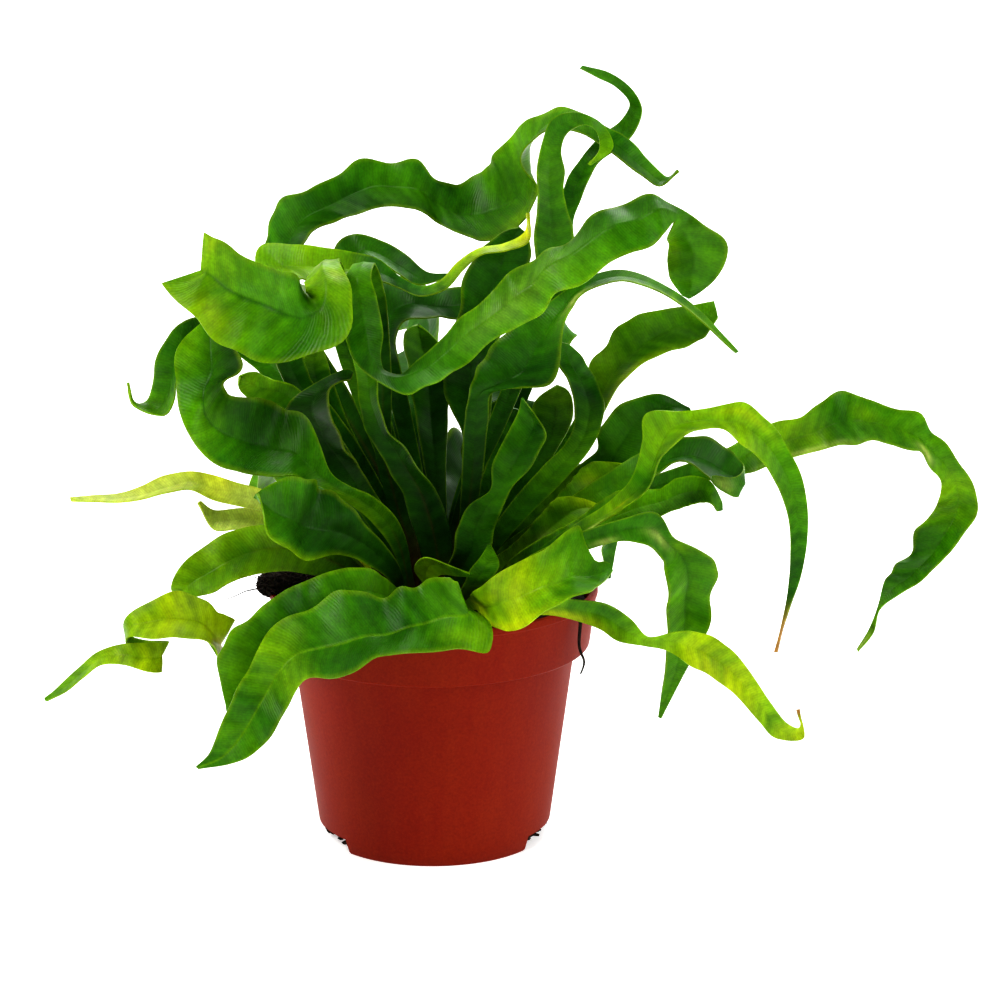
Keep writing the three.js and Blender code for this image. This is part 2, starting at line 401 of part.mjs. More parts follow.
// The fronds of the far side, each swept from the crown by its heading (0 is +X, 90 is +Y), its
// slope at root and tip, the side-swing of its tip and its twist about the rib, all in degrees.
// sway is [degrees, number of waves, phase in turns] of the rib's own wandering.
const SWEPT = [
  {
    name: "frond_rear_right_low", tone: "mid", width: 24, root: [18.5, 18], heading: 57,
    slopes: [44, -78], swing: 30, twist: 150, length: 150, sway: [16, 1.6, 0.1], wave: [2.6, 34, 0.2],
  },
  {
    name: "frond_rear_right", tone: "mid", width: 27, root: [11.5, 20.5], heading: 71,
    slopes: [76, -46], swing: 14, twist: -190, length: 200, sway: [15, 1.8, 0.6], wave: [3, 40, 0.5],
  },
  {
    name: "frond_rear_center_right", tone: "dark", width: 28, root: [4, 21.5], heading: 84,
    slopes: [46, -70], swing: -16, twist: 150, length: 175, sway: [14, 1.5, 0.3], wave: [2.8, 36, 0.1],
  },
  {
    name: "frond_rear_center_left", tone: "mid", width: 28, root: [-4, 21.5], heading: 95,
    slopes: [78, -40], swing: 12, twist: -170, length: 205, sway: [16, 1.7, 0.9], wave: [3, 42, 0.7],
  },
  {
    name: "frond_rear_left", tone: "mid", width: 26, root: [-11.5, 20.5], heading: 110,
    slopes: [50, -66], swing: -20, twist: 160, length: 175, sway: [15, 1.6, 0.5], wave: [2.8, 38, 0.4],
  },
  {
    name: "frond_rear_left_low", tone: "light", width: 23, root: [-18, 17], heading: 126,
    slopes: [56, -74], swing: -24, twist: -150, length: 155, sway: [16, 1.5, 0.8], wave: [2.6, 34, 0.9],
  },
];

const radians = THREE.MathUtils.degToRad;
const smooth = (low, high, x) => THREE.MathUtils.smoothstep(x, low, high);

// The point that a traced place stands for: on its line of sight, at that distance away.
function traced(across, down, away) {
  const pitch = radians(VIEW.pitchDeg);
  const side = (across - VIEW.middlePx) / VIEW.focalPx;
  const rise = (VIEW.middlePx - down) / VIEW.focalPx;
  const sight = new THREE.Vector3(
    side,
    Math.cos(pitch) + rise * Math.sin(pitch),
    rise * Math.cos(pitch) - Math.sin(pitch),
  );
  return VIEW.eye.clone().addScaledVector(sight, (away - VIEW.eye.y) / sight.y);
}

// How far a traced place's right edge is swung back, in degrees.
function swingOf([leftU, leftV, rightU, rightV, , turn], i, phase) {
  const width = Math.hypot(rightU - leftU, rightV - leftV);
  const upright = Math.abs(rightU - leftU) / width;
  const yaw = LEAN.yaw * upright * Math.sin(2 * Math.PI * (phase + i / LEAN.yawPlaces));
  const lean = (LEAN.back * (leftV - rightV)) / width + yaw;
  return THREE.MathUtils.clamp(turn + lean * smooth(1, 4, i), -LEAN.most, LEAN.most);
}

// A traced frond's left edge, rib and right edge, from its root outwards.
function tracedLines({ root, places, wave }) {
  const rows = places.map((traceRow, i) => {
    const [leftU, leftV, rightU, rightV, away] = traceRow;
    const half = Math.hypot(rightU - leftU, rightV - leftV) / 2 / VIEW.pxPerMm;
    const swing = Math.tan(radians(swingOf(traceRow, i, wave[2]))) * half;
    return [
      traced(leftU, leftV, away - swing),
      traced((leftU + rightU) / 2, (leftV + rightV) / 2, away),
      traced(rightU, rightV, away + swing),
    ];
  });
  const base = new THREE.Vector3(root[0], root[1], ROOT_Z);
  const along = rows[0][1].clone().sub(base).normalize();
  const side = rows[0][2].clone().sub(rows[0][0]);
  side.addScaledVector(along, -side.dot(along)).setLength(BLADE.petioleWidth / 2);
  rows.unshift([base.clone().sub(side), base, base.clone().add(side)]);
  return rows;
}

// A swept frond's left edge, rib and right edge: it climbs, leans over and swings aside.
function sweptLines({ root, heading, slopes, swing, length, width, twist, sway }) {
  const { parts, opens, sways, tapersFrom, taperPower } = SWEEP;
  const [swayBy, swayWaves, swayPhase] = sway;
  const place = new THREE.Vector3(root[0], root[1], ROOT_Z);
  const rows = [];
  for (let i = 0; i <= parts; i++) {
    const share = i / parts;
    const grown = swayBy * smooth(...sways, share);
    const turns = 2 * Math.PI * (swayWaves * share + swayPhase);
    const slope = radians(THREE.MathUtils.lerp(slopes[0], slopes[1], share) + grown * Math.sin(1.7 * turns));
    const way = radians(heading + swing * share * share + grown * Math.sin(turns));
    const along = new THREE.Vector3(
      Math.cos(way) * Math.cos(slope),
      Math.sin(way) * Math.cos(slope),
      Math.sin(slope),
    );
    const turn = radians(twist * share * share);
    const across = new THREE.Vector3(Math.sin(way), -Math.cos(way), 0).applyAxisAngle(along, turn);
    const open = THREE.MathUtils.lerp(BLADE.petioleWidth, width, smooth(...opens, share));
    const taper = 1 - Math.max(0, (share - tapersFrom) / (1 - tapersFrom)) ** taperPower;
    const half = Math.max(BLADE.tipWidth, open * taper) / 2;
    rows.push([
      place.clone().addScaledVector(across, -half),
      place.clone(),
      place.clone().addScaledVector(across, half),
    ]);
    place.addScaledVector(along, length / parts);
  }
  return rows;
}

// A frond's stations, evenly spaced along its rib: the two edges, the rib and its directions.
function stationsOf(frond) {
  const rows = frond.places ? tracedLines(frond) : sweptLines(frond);
  const [leftEdge, rib, rightEdge] = [0, 1, 2].map(
    (side) => new THREE.CatmullRomCurve3(rows.map((row) => row[side]), false, "centripetal"),
  );
  const length = rib.getLength();
  const count = Math.max(6, Math.round(length / BLADE.step));
  const stations = [];
  for (let i = 0; i <= count; i++) {
    const share = i / count;
    const t = rib.getUtoTmapping(share);
    const [left, place, right] = [leftEdge.getPoint(t), rib.getPoint(t), rightEdge.getPoint(t)];
    if (right.distanceTo(left) < BLADE.tipWidth) {
      const half = right.clone().sub(left).setLength(BLADE.tipWidth / 2);
      left.copy(place).sub(half);
      right.copy(place).add(half);
    }
    stations.push({ share, left, place, right, at: t * (rows.length - 1) });
  }
  shapeBlade(frond, stations, length);
  return stations;
}

// Gives a blade its folded rib and its ruffled edges.
function shapeBlade(frond, stations, length) {
  const [rise, ruffle, phase] = frond.wave;
  const last = stations.length - 1;
  const lifts = stations.map((station, i) => {
    const before = stations[Math.max(0, i - 1)].place;
    const after = stations[Math.min(last, i + 1)].place;
    station.along = after.clone().sub(before).normalize();
    const across = station.right.clone().sub(station.left);
    const width = across.length();
    const normal = new THREE.Vector3().crossVectors(across, station.along).normalize();
    station.normal = normal;
    const grown = smooth(...RUFFLE.shares, station.share) * smooth(...RUFFLE.widths, width);
    const wave = (lag) => Math.sin(2 * Math.PI * ((station.share * length) / ruffle + phase + lag));
    const fold = -FOLD.share * width * smooth(...FOLD.widths, width);
    return [wave(0) * grown * rise, fold, wave(RUFFLE.lag) * grown * rise];
  });
  stations.forEach((station, i) => {
    station.left.addScaledVector(station.normal, lifts[i][0]);
    station.place.addScaledVector(station.normal, lifts[i][1]);
    station.right.addScaledVector(station.normal, lifts[i][2]);
  });
}

// A point of the blade's middle surface, at -1 to 1 across it.
function bladePoint(station, across) {
  return station.place.clone().lerp(across < 0 ? station.left : station.right, Math.abs(across));
}

// A frond's rank, from the front, at a station. The stem may lie behind a later frond.
function rankOf(fronds, f, station) {
  const { stem } = fronds[f];
  if (!stem || station.at >= stem[0]) return f;
  return fronds.findIndex((frond) => frond.name === stem[1]) + 0.5;
}

// Points on the front half of the pot's collar, which no frond may cross.
function collarPoints() {
  const points = [];
  const [rows, columns] = [8, 64];
  for (let i = 0; i <= rows; i++)
    for (let k = 0; k <= columns; k++) {
      const way = -Math.PI * (k / columns);
      const z = POT.height - (POT.collarHeight * i) / rows;
      points.push(new THREE.Vector3(POT.rimRadius * Math.cos(way), POT.rimRadius * Math.sin(way), z));
    }
  return points;
}

// Moves fronds apart along the line of sight wherever two would touch. The lower rank lies in
// front, and the pot's collar stays behind those that pass over it. Roots stay where they are.
function partFronds(fronds) {
  const pitch = radians(VIEW.pitchDeg);
  const ahead = new THREE.Vector3(0, Math.cos(pitch), -Math.sin(pitch));
  const up = new THREE.Vector3(0, Math.sin(pitch), Math.cos(pitch));
  const { cell, rounds, longest, enough, collarReach, fixedStations } = PARTING;
  const pitchKey = 4096;
  const acrossSteps = [-1, -0.75, -0.5, -0.25, 0, 0.25, 0.5, 0.75, 1];
  const collar = { points: collarPoints(), station: { rank: Infinity, push: [0, 0] } };
  const addTo = (grid, p, tags) => {
    const seen = p.clone().sub(VIEW.eye);
    const depth = seen.dot(ahead);
    const scale = -VIEW.eye.y / depth / cell;
    const [x, y] = [seen.x * scale, seen.dot(up) * scale];
    const key = Math.floor(x) * pitchKey + Math.floor(y);
    if (!grid.has(key)) grid.set(key, []);
    grid.get(key).push({ x, y, depth, ...tags });
  };
  for (const [f, frond] of fronds.entries())
    for (const station of frond.stations) station.rank = rankOf(fronds, f, station);
  for (let round = 0; round < rounds; round++) {
    const grid = new Map();
    fronds.forEach((frond, f) => {
      let before = null;
      frond.stations.forEach((station, i) => {
        station.push = [0, 0];
        const row = acrossSteps.map((a) => bladePoint(station, a));
        const rows = [row];
        for (const share of before ? [1 / 3, 2 / 3] : []) {
          rows.push(before.map((p, k) => p.clone().lerp(row[k], share)));
        }
        before = row;
        for (const p of rows.flat()) addTo(grid, p, { f, i, station });
      });
    });
    for (const p of collar.points) addTo(grid, p, { f: -1, i: Infinity, station: collar.station });
    let worst = 0;
    for (const [key, here] of grid)
      for (const step of [0, 1, pitchKey - 1, pitchKey, pitchKey + 1])
        for (const b of grid.get(key + step) ?? [])
          for (const a of here) {
            if (a.f === b.f || Math.min(a.i, b.i) < 2) continue;
            if (Math.min(a.f, b.f) >= TRACED.length) continue;
            if (Math.hypot(a.x - b.x, a.y - b.y) > 1) continue;
            const [front, back] = a.station.rank < b.station.rank ? [a, b] : [b, a];
            const short = CLEARANCE - (back.depth - front.depth);
            if (short <= 0 || (back.f === -1 && short > collarReach)) continue;
            const move = Math.min(short, longest) / 2;
            front.station.push[0] = Math.max(front.station.push[0], move);
            back.station.push[1] = Math.max(back.station.push[1], move);
            worst = Math.max(worst, short);
          }
    for (const { stations } of fronds) {
      let moves = stations.map(({ push }) => push[1] - push[0]);
      const last = moves.length - 1;
      for (let pass = 0; pass < 2; pass++)
        moves = moves.map((m, i) => (moves[Math.max(0, i - 1)] + 2 * m + moves[Math.min(last, i + 1)]) / 4);
      stations.forEach((station, i) => {
        const sight = station.place.clone().sub(VIEW.eye).normalize();
        for (const point of [station.left, station.place, station.right])
          point.addScaledVector(sight, 0.5 * moves[i] * smooth(0.5, fixedStations, i));
      });
    }
    if (worst < enough) break;
  }
}

// The closed solid of one frond: three edges above and three below at each station.
function frondGeometry(frond, grow = 0, count = frond.stations.length) {
  const positions = [];
  const faces = [];
  const stations = frond.stations.slice(0, count);
  const last = stations.length - 1;
  const put = (p) => positions.push(p.x, p.y, p.z);
  const ways = stations.map((station, i) => {
    const before = stations[Math.max(0, i - 1)].place;
    return stations[Math.min(last, i + 1)].place.clone().sub(before).normalize();
  });
  stations.forEach((station, i) => {
    const across = station.right.clone().sub(station.left).normalize();
    const normal = new THREE.Vector3().crossVectors(across, ways[i]).normalize();
    const stem = 1 - smooth(0.02, 0.2, station.share);
    const thick = THREE.MathUtils.lerp(BLADE.thickness, BLADE.petioleThickness, stem) / 2 + grow;
    const row = [-1, 0, 1].map((side) => bladePoint(station, side).addScaledVector(across, side * grow));
    row.forEach((p) => put(p.clone().addScaledVector(normal, thick)));
    row.forEach((p) => put(p.clone().addScaledVector(normal, -thick)));
  });
  put(stations[0].place.clone().addScaledVector(ways[0], -0.8 - grow));
  put(stations[last].place.clone().addScaledVector(ways[last], 0.8));
  for (let i = 0; i < last; i++) {
    const a = i * 6;
    const b = a + 6;
    for (const k of [0, 1]) {
      faces.push(a + k, a + k + 1, b + k + 1, a + k, b + k + 1, b + k);
      faces.push(a + k + 3, b + k + 4, a + k + 4, a + k + 3, b + k + 3, b + k + 4);
    }
    faces.push(a + 2, a + 5, b + 5, a + 2, b + 5, b + 2);
    faces.push(a, b + 3, a + 3, a, b, b + 3);
  }
  const ring = [0, 1, 2, 5, 4, 3];
  const rootTip = stations.length * 6;
  ring.forEach((from, k) => {
    const to = ring[(k + 1) % 6];
    faces.push(rootTip, to, from);
    faces.push(rootTip + 1, last * 6 + from, last * 6 + to);
  });
  const geometry = new THREE.BufferGeometry();
  geometry.setAttribute("position", new THREE.Float32BufferAttribute(positions, 3));
  geometry.setIndex(faces);
  return geometry;
}

// A geometry as a solid that can be joined and cut.
function solidOf(geometry) {
  const bare = geometry.clone();
  bare.deleteAttribute("normal");
  bare.deleteAttribute("uv");
  const merged = mergeVertices(bare, 1e-4);
  return new wasm.Manifold(
    new wasm.Mesh({
      numProp: 3,
      vertProperties: new Float32Array(merged.attributes.position.array),
      triVerts: new Uint32Array(merged.index.array),
    }),
  );
}

// The largest body of a solid, as a geometry.
function geometryOf(solid) {
  const largest = solid.decompose().sort((a, b) => b.volume() - a.volume())[0];
  const mesh = largest.getMesh();
  const geometry = new THREE.BufferGeometry();
  geometry.setAttribute("position", new THREE.BufferAttribute(new Float32Array(mesh.vertProperties), 3));
  geometry.setIndex(new THREE.BufferAttribute(new Uint32Array(mesh.triVerts), 1));
  return geometry;
}

// A solid of revolution about Z from [radius, height] points that start and end on the axis.
function turned(profile, sides) {
  const points = profile.map(([radius, height]) => new THREE.Vector2(radius, height));
  return solidOf(new THREE.LatheGeometry(points, sides).rotateX(Math.PI / 2));
}

function potSolid() {
  const { rimRadius, height, collarHeight, wall, baseRadius, shoulderRadius, floorHeight } = POT;
  const shoulder = height - collarHeight;
  const wallRadius = (z) => baseRadius + ((shoulderRadius - baseRadius) * z) / shoulder;
  const lip = 0.8;
  const shell = turned(
    [
      [0, 0],
      [POT.centreFootRadius, 0],
      [POT.centreFootRadius + 2, floorHeight - wall],
      [baseRadius - POT.footWidth - 1.5, floorHeight - wall],
      [baseRadius - POT.footWidth, 0],
      [baseRadius - 0.6, 0],
      [wallRadius(0.8), 0.8],
      [shoulderRadius, shoulder],
      [POT.collarFootRadius - 0.6, shoulder],
      [POT.collarFootRadius, shoulder + 0.6],
      [rimRadius - 0.5, height - 3.2],
      [rimRadius, height - 2.6],
      [rimRadius, height - lip],
      [rimRadius - lip, height],
      [rimRadius - lip - 0.8, height],
      [rimRadius - 2 - wall, height - 3],
      [POT.collarFootRadius - wall, shoulder + 2 * wall],
      [shoulderRadius - wall, shoulder + wall],
      [wallRadius(floorHeight) - wall, floorHeight],
      [POT.centreFootRadius + 2.6, floorHeight],
      [POT.centreFootRadius + 0.6, wall],
      [0, wall],
    ],
    POT.sides,
  );
  let pot = shell;
  for (const heading of NOTCH.headings) pot = pot.subtract(notchSolid(heading));
  for (let i = 0; i < DRAIN.count; i++) {
    const way = radians((360 * i) / DRAIN.count + 30);
    const hole = new THREE.CylinderGeometry(DRAIN.radius, DRAIN.radius, 6, 12)
      .rotateX(Math.PI / 2)
      .translate(Math.cos(way) * DRAIN.circle, Math.sin(way) * DRAIN.circle, floorHeight);
    pot = pot.subtract(solidOf(hole));
  }
  return pot;
}

// A gap in the foot, cut as a wedge that ends below the raised floor.
function notchSolid(heading) {
  const half = radians(NOTCH.widthDeg / 2);
  const middle = radians(heading);
  const steps = 6;
  const outline = new THREE.Shape();
  const inner = POT.baseRadius - POT.footWidth - 3.5;
  const outer = POT.baseRadius + 4;
  for (let i = 0; i <= steps; i++) {
    const way = middle - half + (2 * half * i) / steps;
    const [x, y] = [Math.cos(way) * outer, Math.sin(way) * outer];
    i === 0 ? outline.moveTo(x, y) : outline.lineTo(x, y);
  }
  for (let i = steps; i >= 0; i--) {
    const way = middle - half + (2 * half * i) / steps;
    outline.lineTo(Math.cos(way) * inner, Math.sin(way) * inner);
  }
  const wedge = new THREE.ExtrudeGeometry(outline, { depth: NOTCH.height + 1, bevelEnabled: false });
  return solidOf(wedge.translate(0, 0, -1));
}

// Peat that fills the pot up to the collar, with a socket for the crown.
function soilSolid(fronds) {
  const { gap, edgeHeight, moundHeight, sides } = SOIL;
  const shoulder = POT.height - POT.collarHeight;
  const slope = (POT.shoulderRadius - POT.baseRadius) / shoulder;
  const inside = (z) => POT.baseRadius + slope * z - POT.wall - gap;
  const low = POT.floorHeight + gap;
  const soil = turned(
    [
      [0, low],
      [inside(low), low],
      [inside(shoulder + POT.wall), shoulder + POT.wall],
      [POT.collarFootRadius - POT.wall - gap - 0.2, shoulder + 3 * POT.wall + gap],
      [POT.collarFootRadius - POT.wall - gap, edgeHeight - 2],
      [POT.collarFootRadius - POT.wall - gap - 2, edgeHeight],
      [CROWN.radius + 12, moundHeight],
      [CROWN.radius + HOLE_GAP, moundHeight],
      [CROWN.radius + HOLE_GAP - 3, CROWN.depth - HOLE_GAP],
      [0, CROWN.depth - HOLE_GAP],
    ],
    sides,
  );
  return stemHoles(soil, fronds).subtract(solidOf(hangingRootGeometry(HOLE_GAP)));
}

// Cuts a plain hole for every stem that stands in a solid.
function stemHoles(solid, fronds) {
  const stemStations = 5;
  let cut = solid;
  for (const frond of fronds) cut = cut.subtract(solidOf(frondGeometry(frond, HOLE_GAP, stemStations)));
  return cut;
}

// The short upright rhizome that every frond grows from.
function crownSolid(fronds) {
  const { radius, height, depth, sides } = CROWN;
  const crown = turned(
    [
      [0, depth],
      [radius - 3, depth],
      [radius, SOIL.moundHeight],
      [radius - 2.5, height - 2.5],
      [radius - 8, height],
      [0, height],
    ],
    sides,
  );
  return stemHoles(crown, fronds);
}

// A clump of bare roots on the soil that has grown over the collar. It clears the rim and the soil.
function rootMatSolid() {
  const clump = new THREE.IcosahedronGeometry(1, 3);
  const at = clump.attributes.position;
  for (let i = 0; i < at.count; i++) {
    const p = new THREE.Vector3().fromBufferAttribute(at, i);
    const rough = 1 + 0.08 * Math.sin(7 * p.x + 5 * p.y) + 0.07 * Math.cos(9 * p.z + 4 * p.y);
    at.setXYZ(i, p.x * rough, p.y * rough, p.z * rough);
  }
  clump.scale(...ROOT_MAT.size).translate(...ROOT_MAT.centre);
  const [low, inner, outer] = [60, POT.rimRadius - 4.2, POT.rimRadius + HOLE_GAP];
  const under = turned(
    [
      [0, low],
      [outer, low],
      [outer, POT.height + HOLE_GAP],
      [inner, POT.height + HOLE_GAP],
      [inner, SOIL.moundHeight + HOLE_GAP],
      [0, SOIL.moundHeight + HOLE_GAP],
    ],
    SOIL.sides,
  );
  return solidOf(clump).subtract(under);
}

// A root that grows out of the soil and hangs over the collar at the right.
function hangingRootGeometry(grow = 0) {
  const route = new THREE.CatmullRomCurve3(
    [
      [43, -20, 79],
      [46, -23, 91],
      [49.5, -27.6, 97.2],
      [52.8, -31.4, 96.6],
      [53.6, -32.8, 90.3],
      [52.8, -33, 82.6],
      [55, -33.6, 75.9],
      [53.9, -33, 71.8],
    ].map(([x, y, z]) => new THREE.Vector3(x, y, z)),
  );
  const { radius, sides, steps } = HANGING_ROOT;
  const section = new THREE.Shape();
  for (let i = 0; i < sides; i++) {
    const way = (2 * Math.PI * i) / sides;
    const [x, y] = [(radius + grow) * Math.cos(way), (radius + grow) * Math.sin(way)];
    i === 0 ? section.moveTo(x, y) : section.lineTo(x, y);
  }
  return new THREE.ExtrudeGeometry(section, { extrudePath: route, steps, bevelEnabled: false });
}

const group = new THREE.Group();

function addPiece(name, geometry, tone, roughness = 0.6) {
  const material = new THREE.MeshStandardMaterial({ color: PALETTE[tone], roughness, metalness: 0 });
  const mesh = new THREE.Mesh(geometry, material);
  mesh.name = name;
  group.add(mesh);
}

const fronds = [...TRACED, ...SWEPT];
for (const frond of fronds) frond.stations = stationsOf(frond);
partFronds(fronds);

addPiece("pot", geometryOf(potSolid()), "pot", 0.45);
addPiece("soil", geometryOf(soilSolid(fronds)), "soil", 0.95);
addPiece("crown", geometryOf(crownSolid(fronds)), "crown", 0.9);
addPiece("root_mat", geometryOf(rootMatSolid()), "root", 0.95);
addPiece("hanging_root", hangingRootGeometry(), "root", 0.9);
for (const frond of fronds) addPiece(frond.name, frondGeometry(frond), frond.tone, 0.4);

export default group;
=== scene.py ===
"""A twisted bird's nest fern in a nursery pot: fine fronds, pot, peat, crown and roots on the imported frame."""

import json
import logging
import math
import random
from dataclasses import dataclass, field
from enum import Enum
from typing import Sequence

import bmesh
import bpy
import numpy as np
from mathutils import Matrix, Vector, noise


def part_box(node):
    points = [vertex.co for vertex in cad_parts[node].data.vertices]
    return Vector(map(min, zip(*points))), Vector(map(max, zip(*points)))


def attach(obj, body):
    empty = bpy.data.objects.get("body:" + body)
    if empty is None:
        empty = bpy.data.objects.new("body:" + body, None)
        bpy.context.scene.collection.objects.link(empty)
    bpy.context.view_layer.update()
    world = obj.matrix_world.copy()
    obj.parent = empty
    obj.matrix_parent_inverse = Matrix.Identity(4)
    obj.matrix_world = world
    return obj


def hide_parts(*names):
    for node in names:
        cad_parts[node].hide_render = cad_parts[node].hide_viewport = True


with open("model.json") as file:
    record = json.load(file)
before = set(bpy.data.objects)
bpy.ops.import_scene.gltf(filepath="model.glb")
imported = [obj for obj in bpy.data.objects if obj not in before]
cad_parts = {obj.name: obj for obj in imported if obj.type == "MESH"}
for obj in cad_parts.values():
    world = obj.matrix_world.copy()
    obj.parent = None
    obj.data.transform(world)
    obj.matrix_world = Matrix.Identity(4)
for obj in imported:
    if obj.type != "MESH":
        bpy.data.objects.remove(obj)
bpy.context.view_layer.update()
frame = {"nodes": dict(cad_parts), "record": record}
BODY = "root"
MM = 0.001

log = logging.getLogger("fern")

Colour = tuple[float, float, float]


class Leaf(Enum):
    """The leaf colours of this plant, as linear reflectances. The dark ones also serve as painted shade in folds,
    hollows and the crowded core, and the pale ones also as painted light and sheen.
    """

    DEEP = (0.010, 0.050, 0.001)
    DARK = (0.018, 0.092, 0.001)
    MID = (0.036, 0.145, 0.001)
    FRESH = (0.070, 0.208, 0.001)
    LIGHT = (0.148, 0.300, 0.002)
    LIME = (0.290, 0.400, 0.003)
    YELLOW = (0.400, 0.460, 0.004)
    PALE = (0.520, 0.600, 0.160)
    BROWN = (0.100, 0.040, 0.012)
    DRY = (0.300, 0.160, 0.040)


def smooth(low: float, high: float, x: np.ndarray | float) -> np.ndarray:
    """A smooth step from 0 at low to 1 at high.

    Args:
        low: where the step starts.
        high: where the step ends.
        x: the value or values.

    Returns:
        The step's height at x.
    """
    t = np.clip((np.asarray(x, float) - low) / (high - low), 0.0, 1.0)
    return t * t * (3 - 2 * t)


def deselect() -> None:
    """Deselects everything, so that an operator acts on its own piece alone."""
    bpy.ops.object.select_all(action="DESELECT")


def activate(piece: bpy.types.Object) -> None:
    """Makes a piece the only selected one and the active one."""
    deselect()
    piece.select_set(True)
    bpy.context.view_layer.objects.active = piece


def apply_modifiers(piece: bpy.types.Object) -> None:
    """Applies a piece's modifiers in order."""
    activate(piece)
    for name in [m.name for m in piece.modifiers]:
        bpy.ops.object.modifier_apply(modifier=name)


def shade(piece: bpy.types.Object, degrees: float = 50.0) -> None:
    """Shades a piece smooth, with edges sharper than an angle left crisp."""
    activate(piece)
    bpy.ops.object.shade_smooth_by_angle(angle=math.radians(degrees))


def settle(piece: bpy.types.Object, nodes: Sequence[str]) -> None:
    """Puts a finished piece on the frame.

    Args:
        piece: the finished piece.
        nodes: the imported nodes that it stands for.
    """
    activate(piece)
    bpy.ops.object.transform_apply(location=True, rotation=True, scale=True)
    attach(piece, BODY)
    for node in nodes:
        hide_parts(node)
    log.info("%s: %d faces", piece.name, len(piece.data.polygons))


class Graph:
    """A material's node tree, with short calls that add and link nodes."""

    def __init__(self, name: str) -> None:
        """Starts an empty material with its shader and output."""
        self.material = bpy.data.materials.new(name)
        self.material.use_nodes = True
        self.tree = self.material.node_tree
        self.tree.nodes.clear()
        self.shader = self.add("ShaderNodeBsdfPrincipled")
        output = self.add("ShaderNodeOutputMaterial")
        self.link(self.shader.outputs["BSDF"], output.inputs["Surface"])

    def add(self, kind: str, **values: object) -> bpy.types.Node:
        """Adds a node of a kind and sets its properties."""
        node = self.tree.nodes.new(kind)
        for name, value in values.items():
            setattr(node, name, value)
        return node

    def link(self, source: object, target: object) -> None:
        """Links an output, or sets a plain value, on an input socket."""
        if isinstance(source, bpy.types.NodeSocket):
            self.tree.links.new(source, target)
        else:
            target.default_value = source

    def math(self, kind: str, a: object, b: object = 0.0, c: object = 0.0) -> bpy.types.NodeSocket:
        """Adds a math node.

        Args:
            kind: the operation.
            a: first input.
            b: second input.
            c: third input.

        Returns:
            The node's output.
        """
        node = self.add("ShaderNodeMath", operation=kind)
        for socket, value in zip(node.inputs, (a, b, c)):
            self.link(value, socket)
        return node.outputs[0]

    def noise(self, vector: object, scale: float, detail: float = 3.0, rough: float = 0.55) -> bpy.types.NodeSocket:
        """Adds a noise pattern.

        Args:
            vector: the coordinates.
            scale: how fine it is.
            detail: its octaves.
            rough: its roughness.

        Returns:
            The pattern's value.
        """
        node = self.add("ShaderNodeTexNoise")
        self.link(vector, node.inputs["Vector"])
        node.inputs["Scale"].default_value = scale
        node.inputs["Detail"].default_value = detail
        node.inputs["Roughness"].default_value = rough
        return node.outputs["Fac"]

    def ramp(self, value: object, low: float, high: float, to_low: float, to_high: float) -> bpy.types.NodeSocket:
        """Maps a value's range onto another, clamped.

        Args:
            value: the value.
            low: its low end.
            high: its high end.
            to_low: what the low end becomes.
            to_high: what the high end becomes.

        Returns:
            The mapped value.
        """
        node = self.add("ShaderNodeMapRange")
        for socket, given in zip(node.inputs, (value, low, high, to_low, to_high)):
            self.link(given, socket)
        return node.outputs[0]

    def mix(self, share: object, a: object, b: object, blend: str = "MIX") -> bpy.types.NodeSocket:
        """Mixes two colours.

        Args:
            share: how much of the second.
            a: first colour.
            b: second colour.
            blend: how they are combined.

        Returns:
            The mixed colour.
        """
        node = self.add("ShaderNodeMix", data_type="RGBA", blend_type=blend)
        self.link(share, node.inputs[0])
        for socket, colour in ((node.inputs[6], a), (node.inputs[7], b)):
            self.link(colour if isinstance(colour, bpy.types.NodeSocket) else (*colour, 1.0), socket)
        return node.outputs[2]

    def bump(self, height: object, strength: float, distance: float) -> None:
        """Lays a relief on the shader's normal."""
        node = self.add("ShaderNodeBump")
        node.inputs["Strength"].default_value = strength
        node.inputs["Distance"].default_value = distance
        self.link(height, node.inputs["Height"])
        self.link(node.outputs["Normal"], self.shader.inputs["Normal"])

    def object_place(self) -> bpy.types.NodeSocket:
        """The object's own coordinates."""
        return self.add("ShaderNodeTexCoord").outputs["Object"]

    def attribute(self, name: str, output: str) -> bpy.types.NodeSocket:
        """A mesh attribute's output."""
        return self.add("ShaderNodeAttribute", attribute_type="GEOMETRY", attribute_name=name).outputs[output]


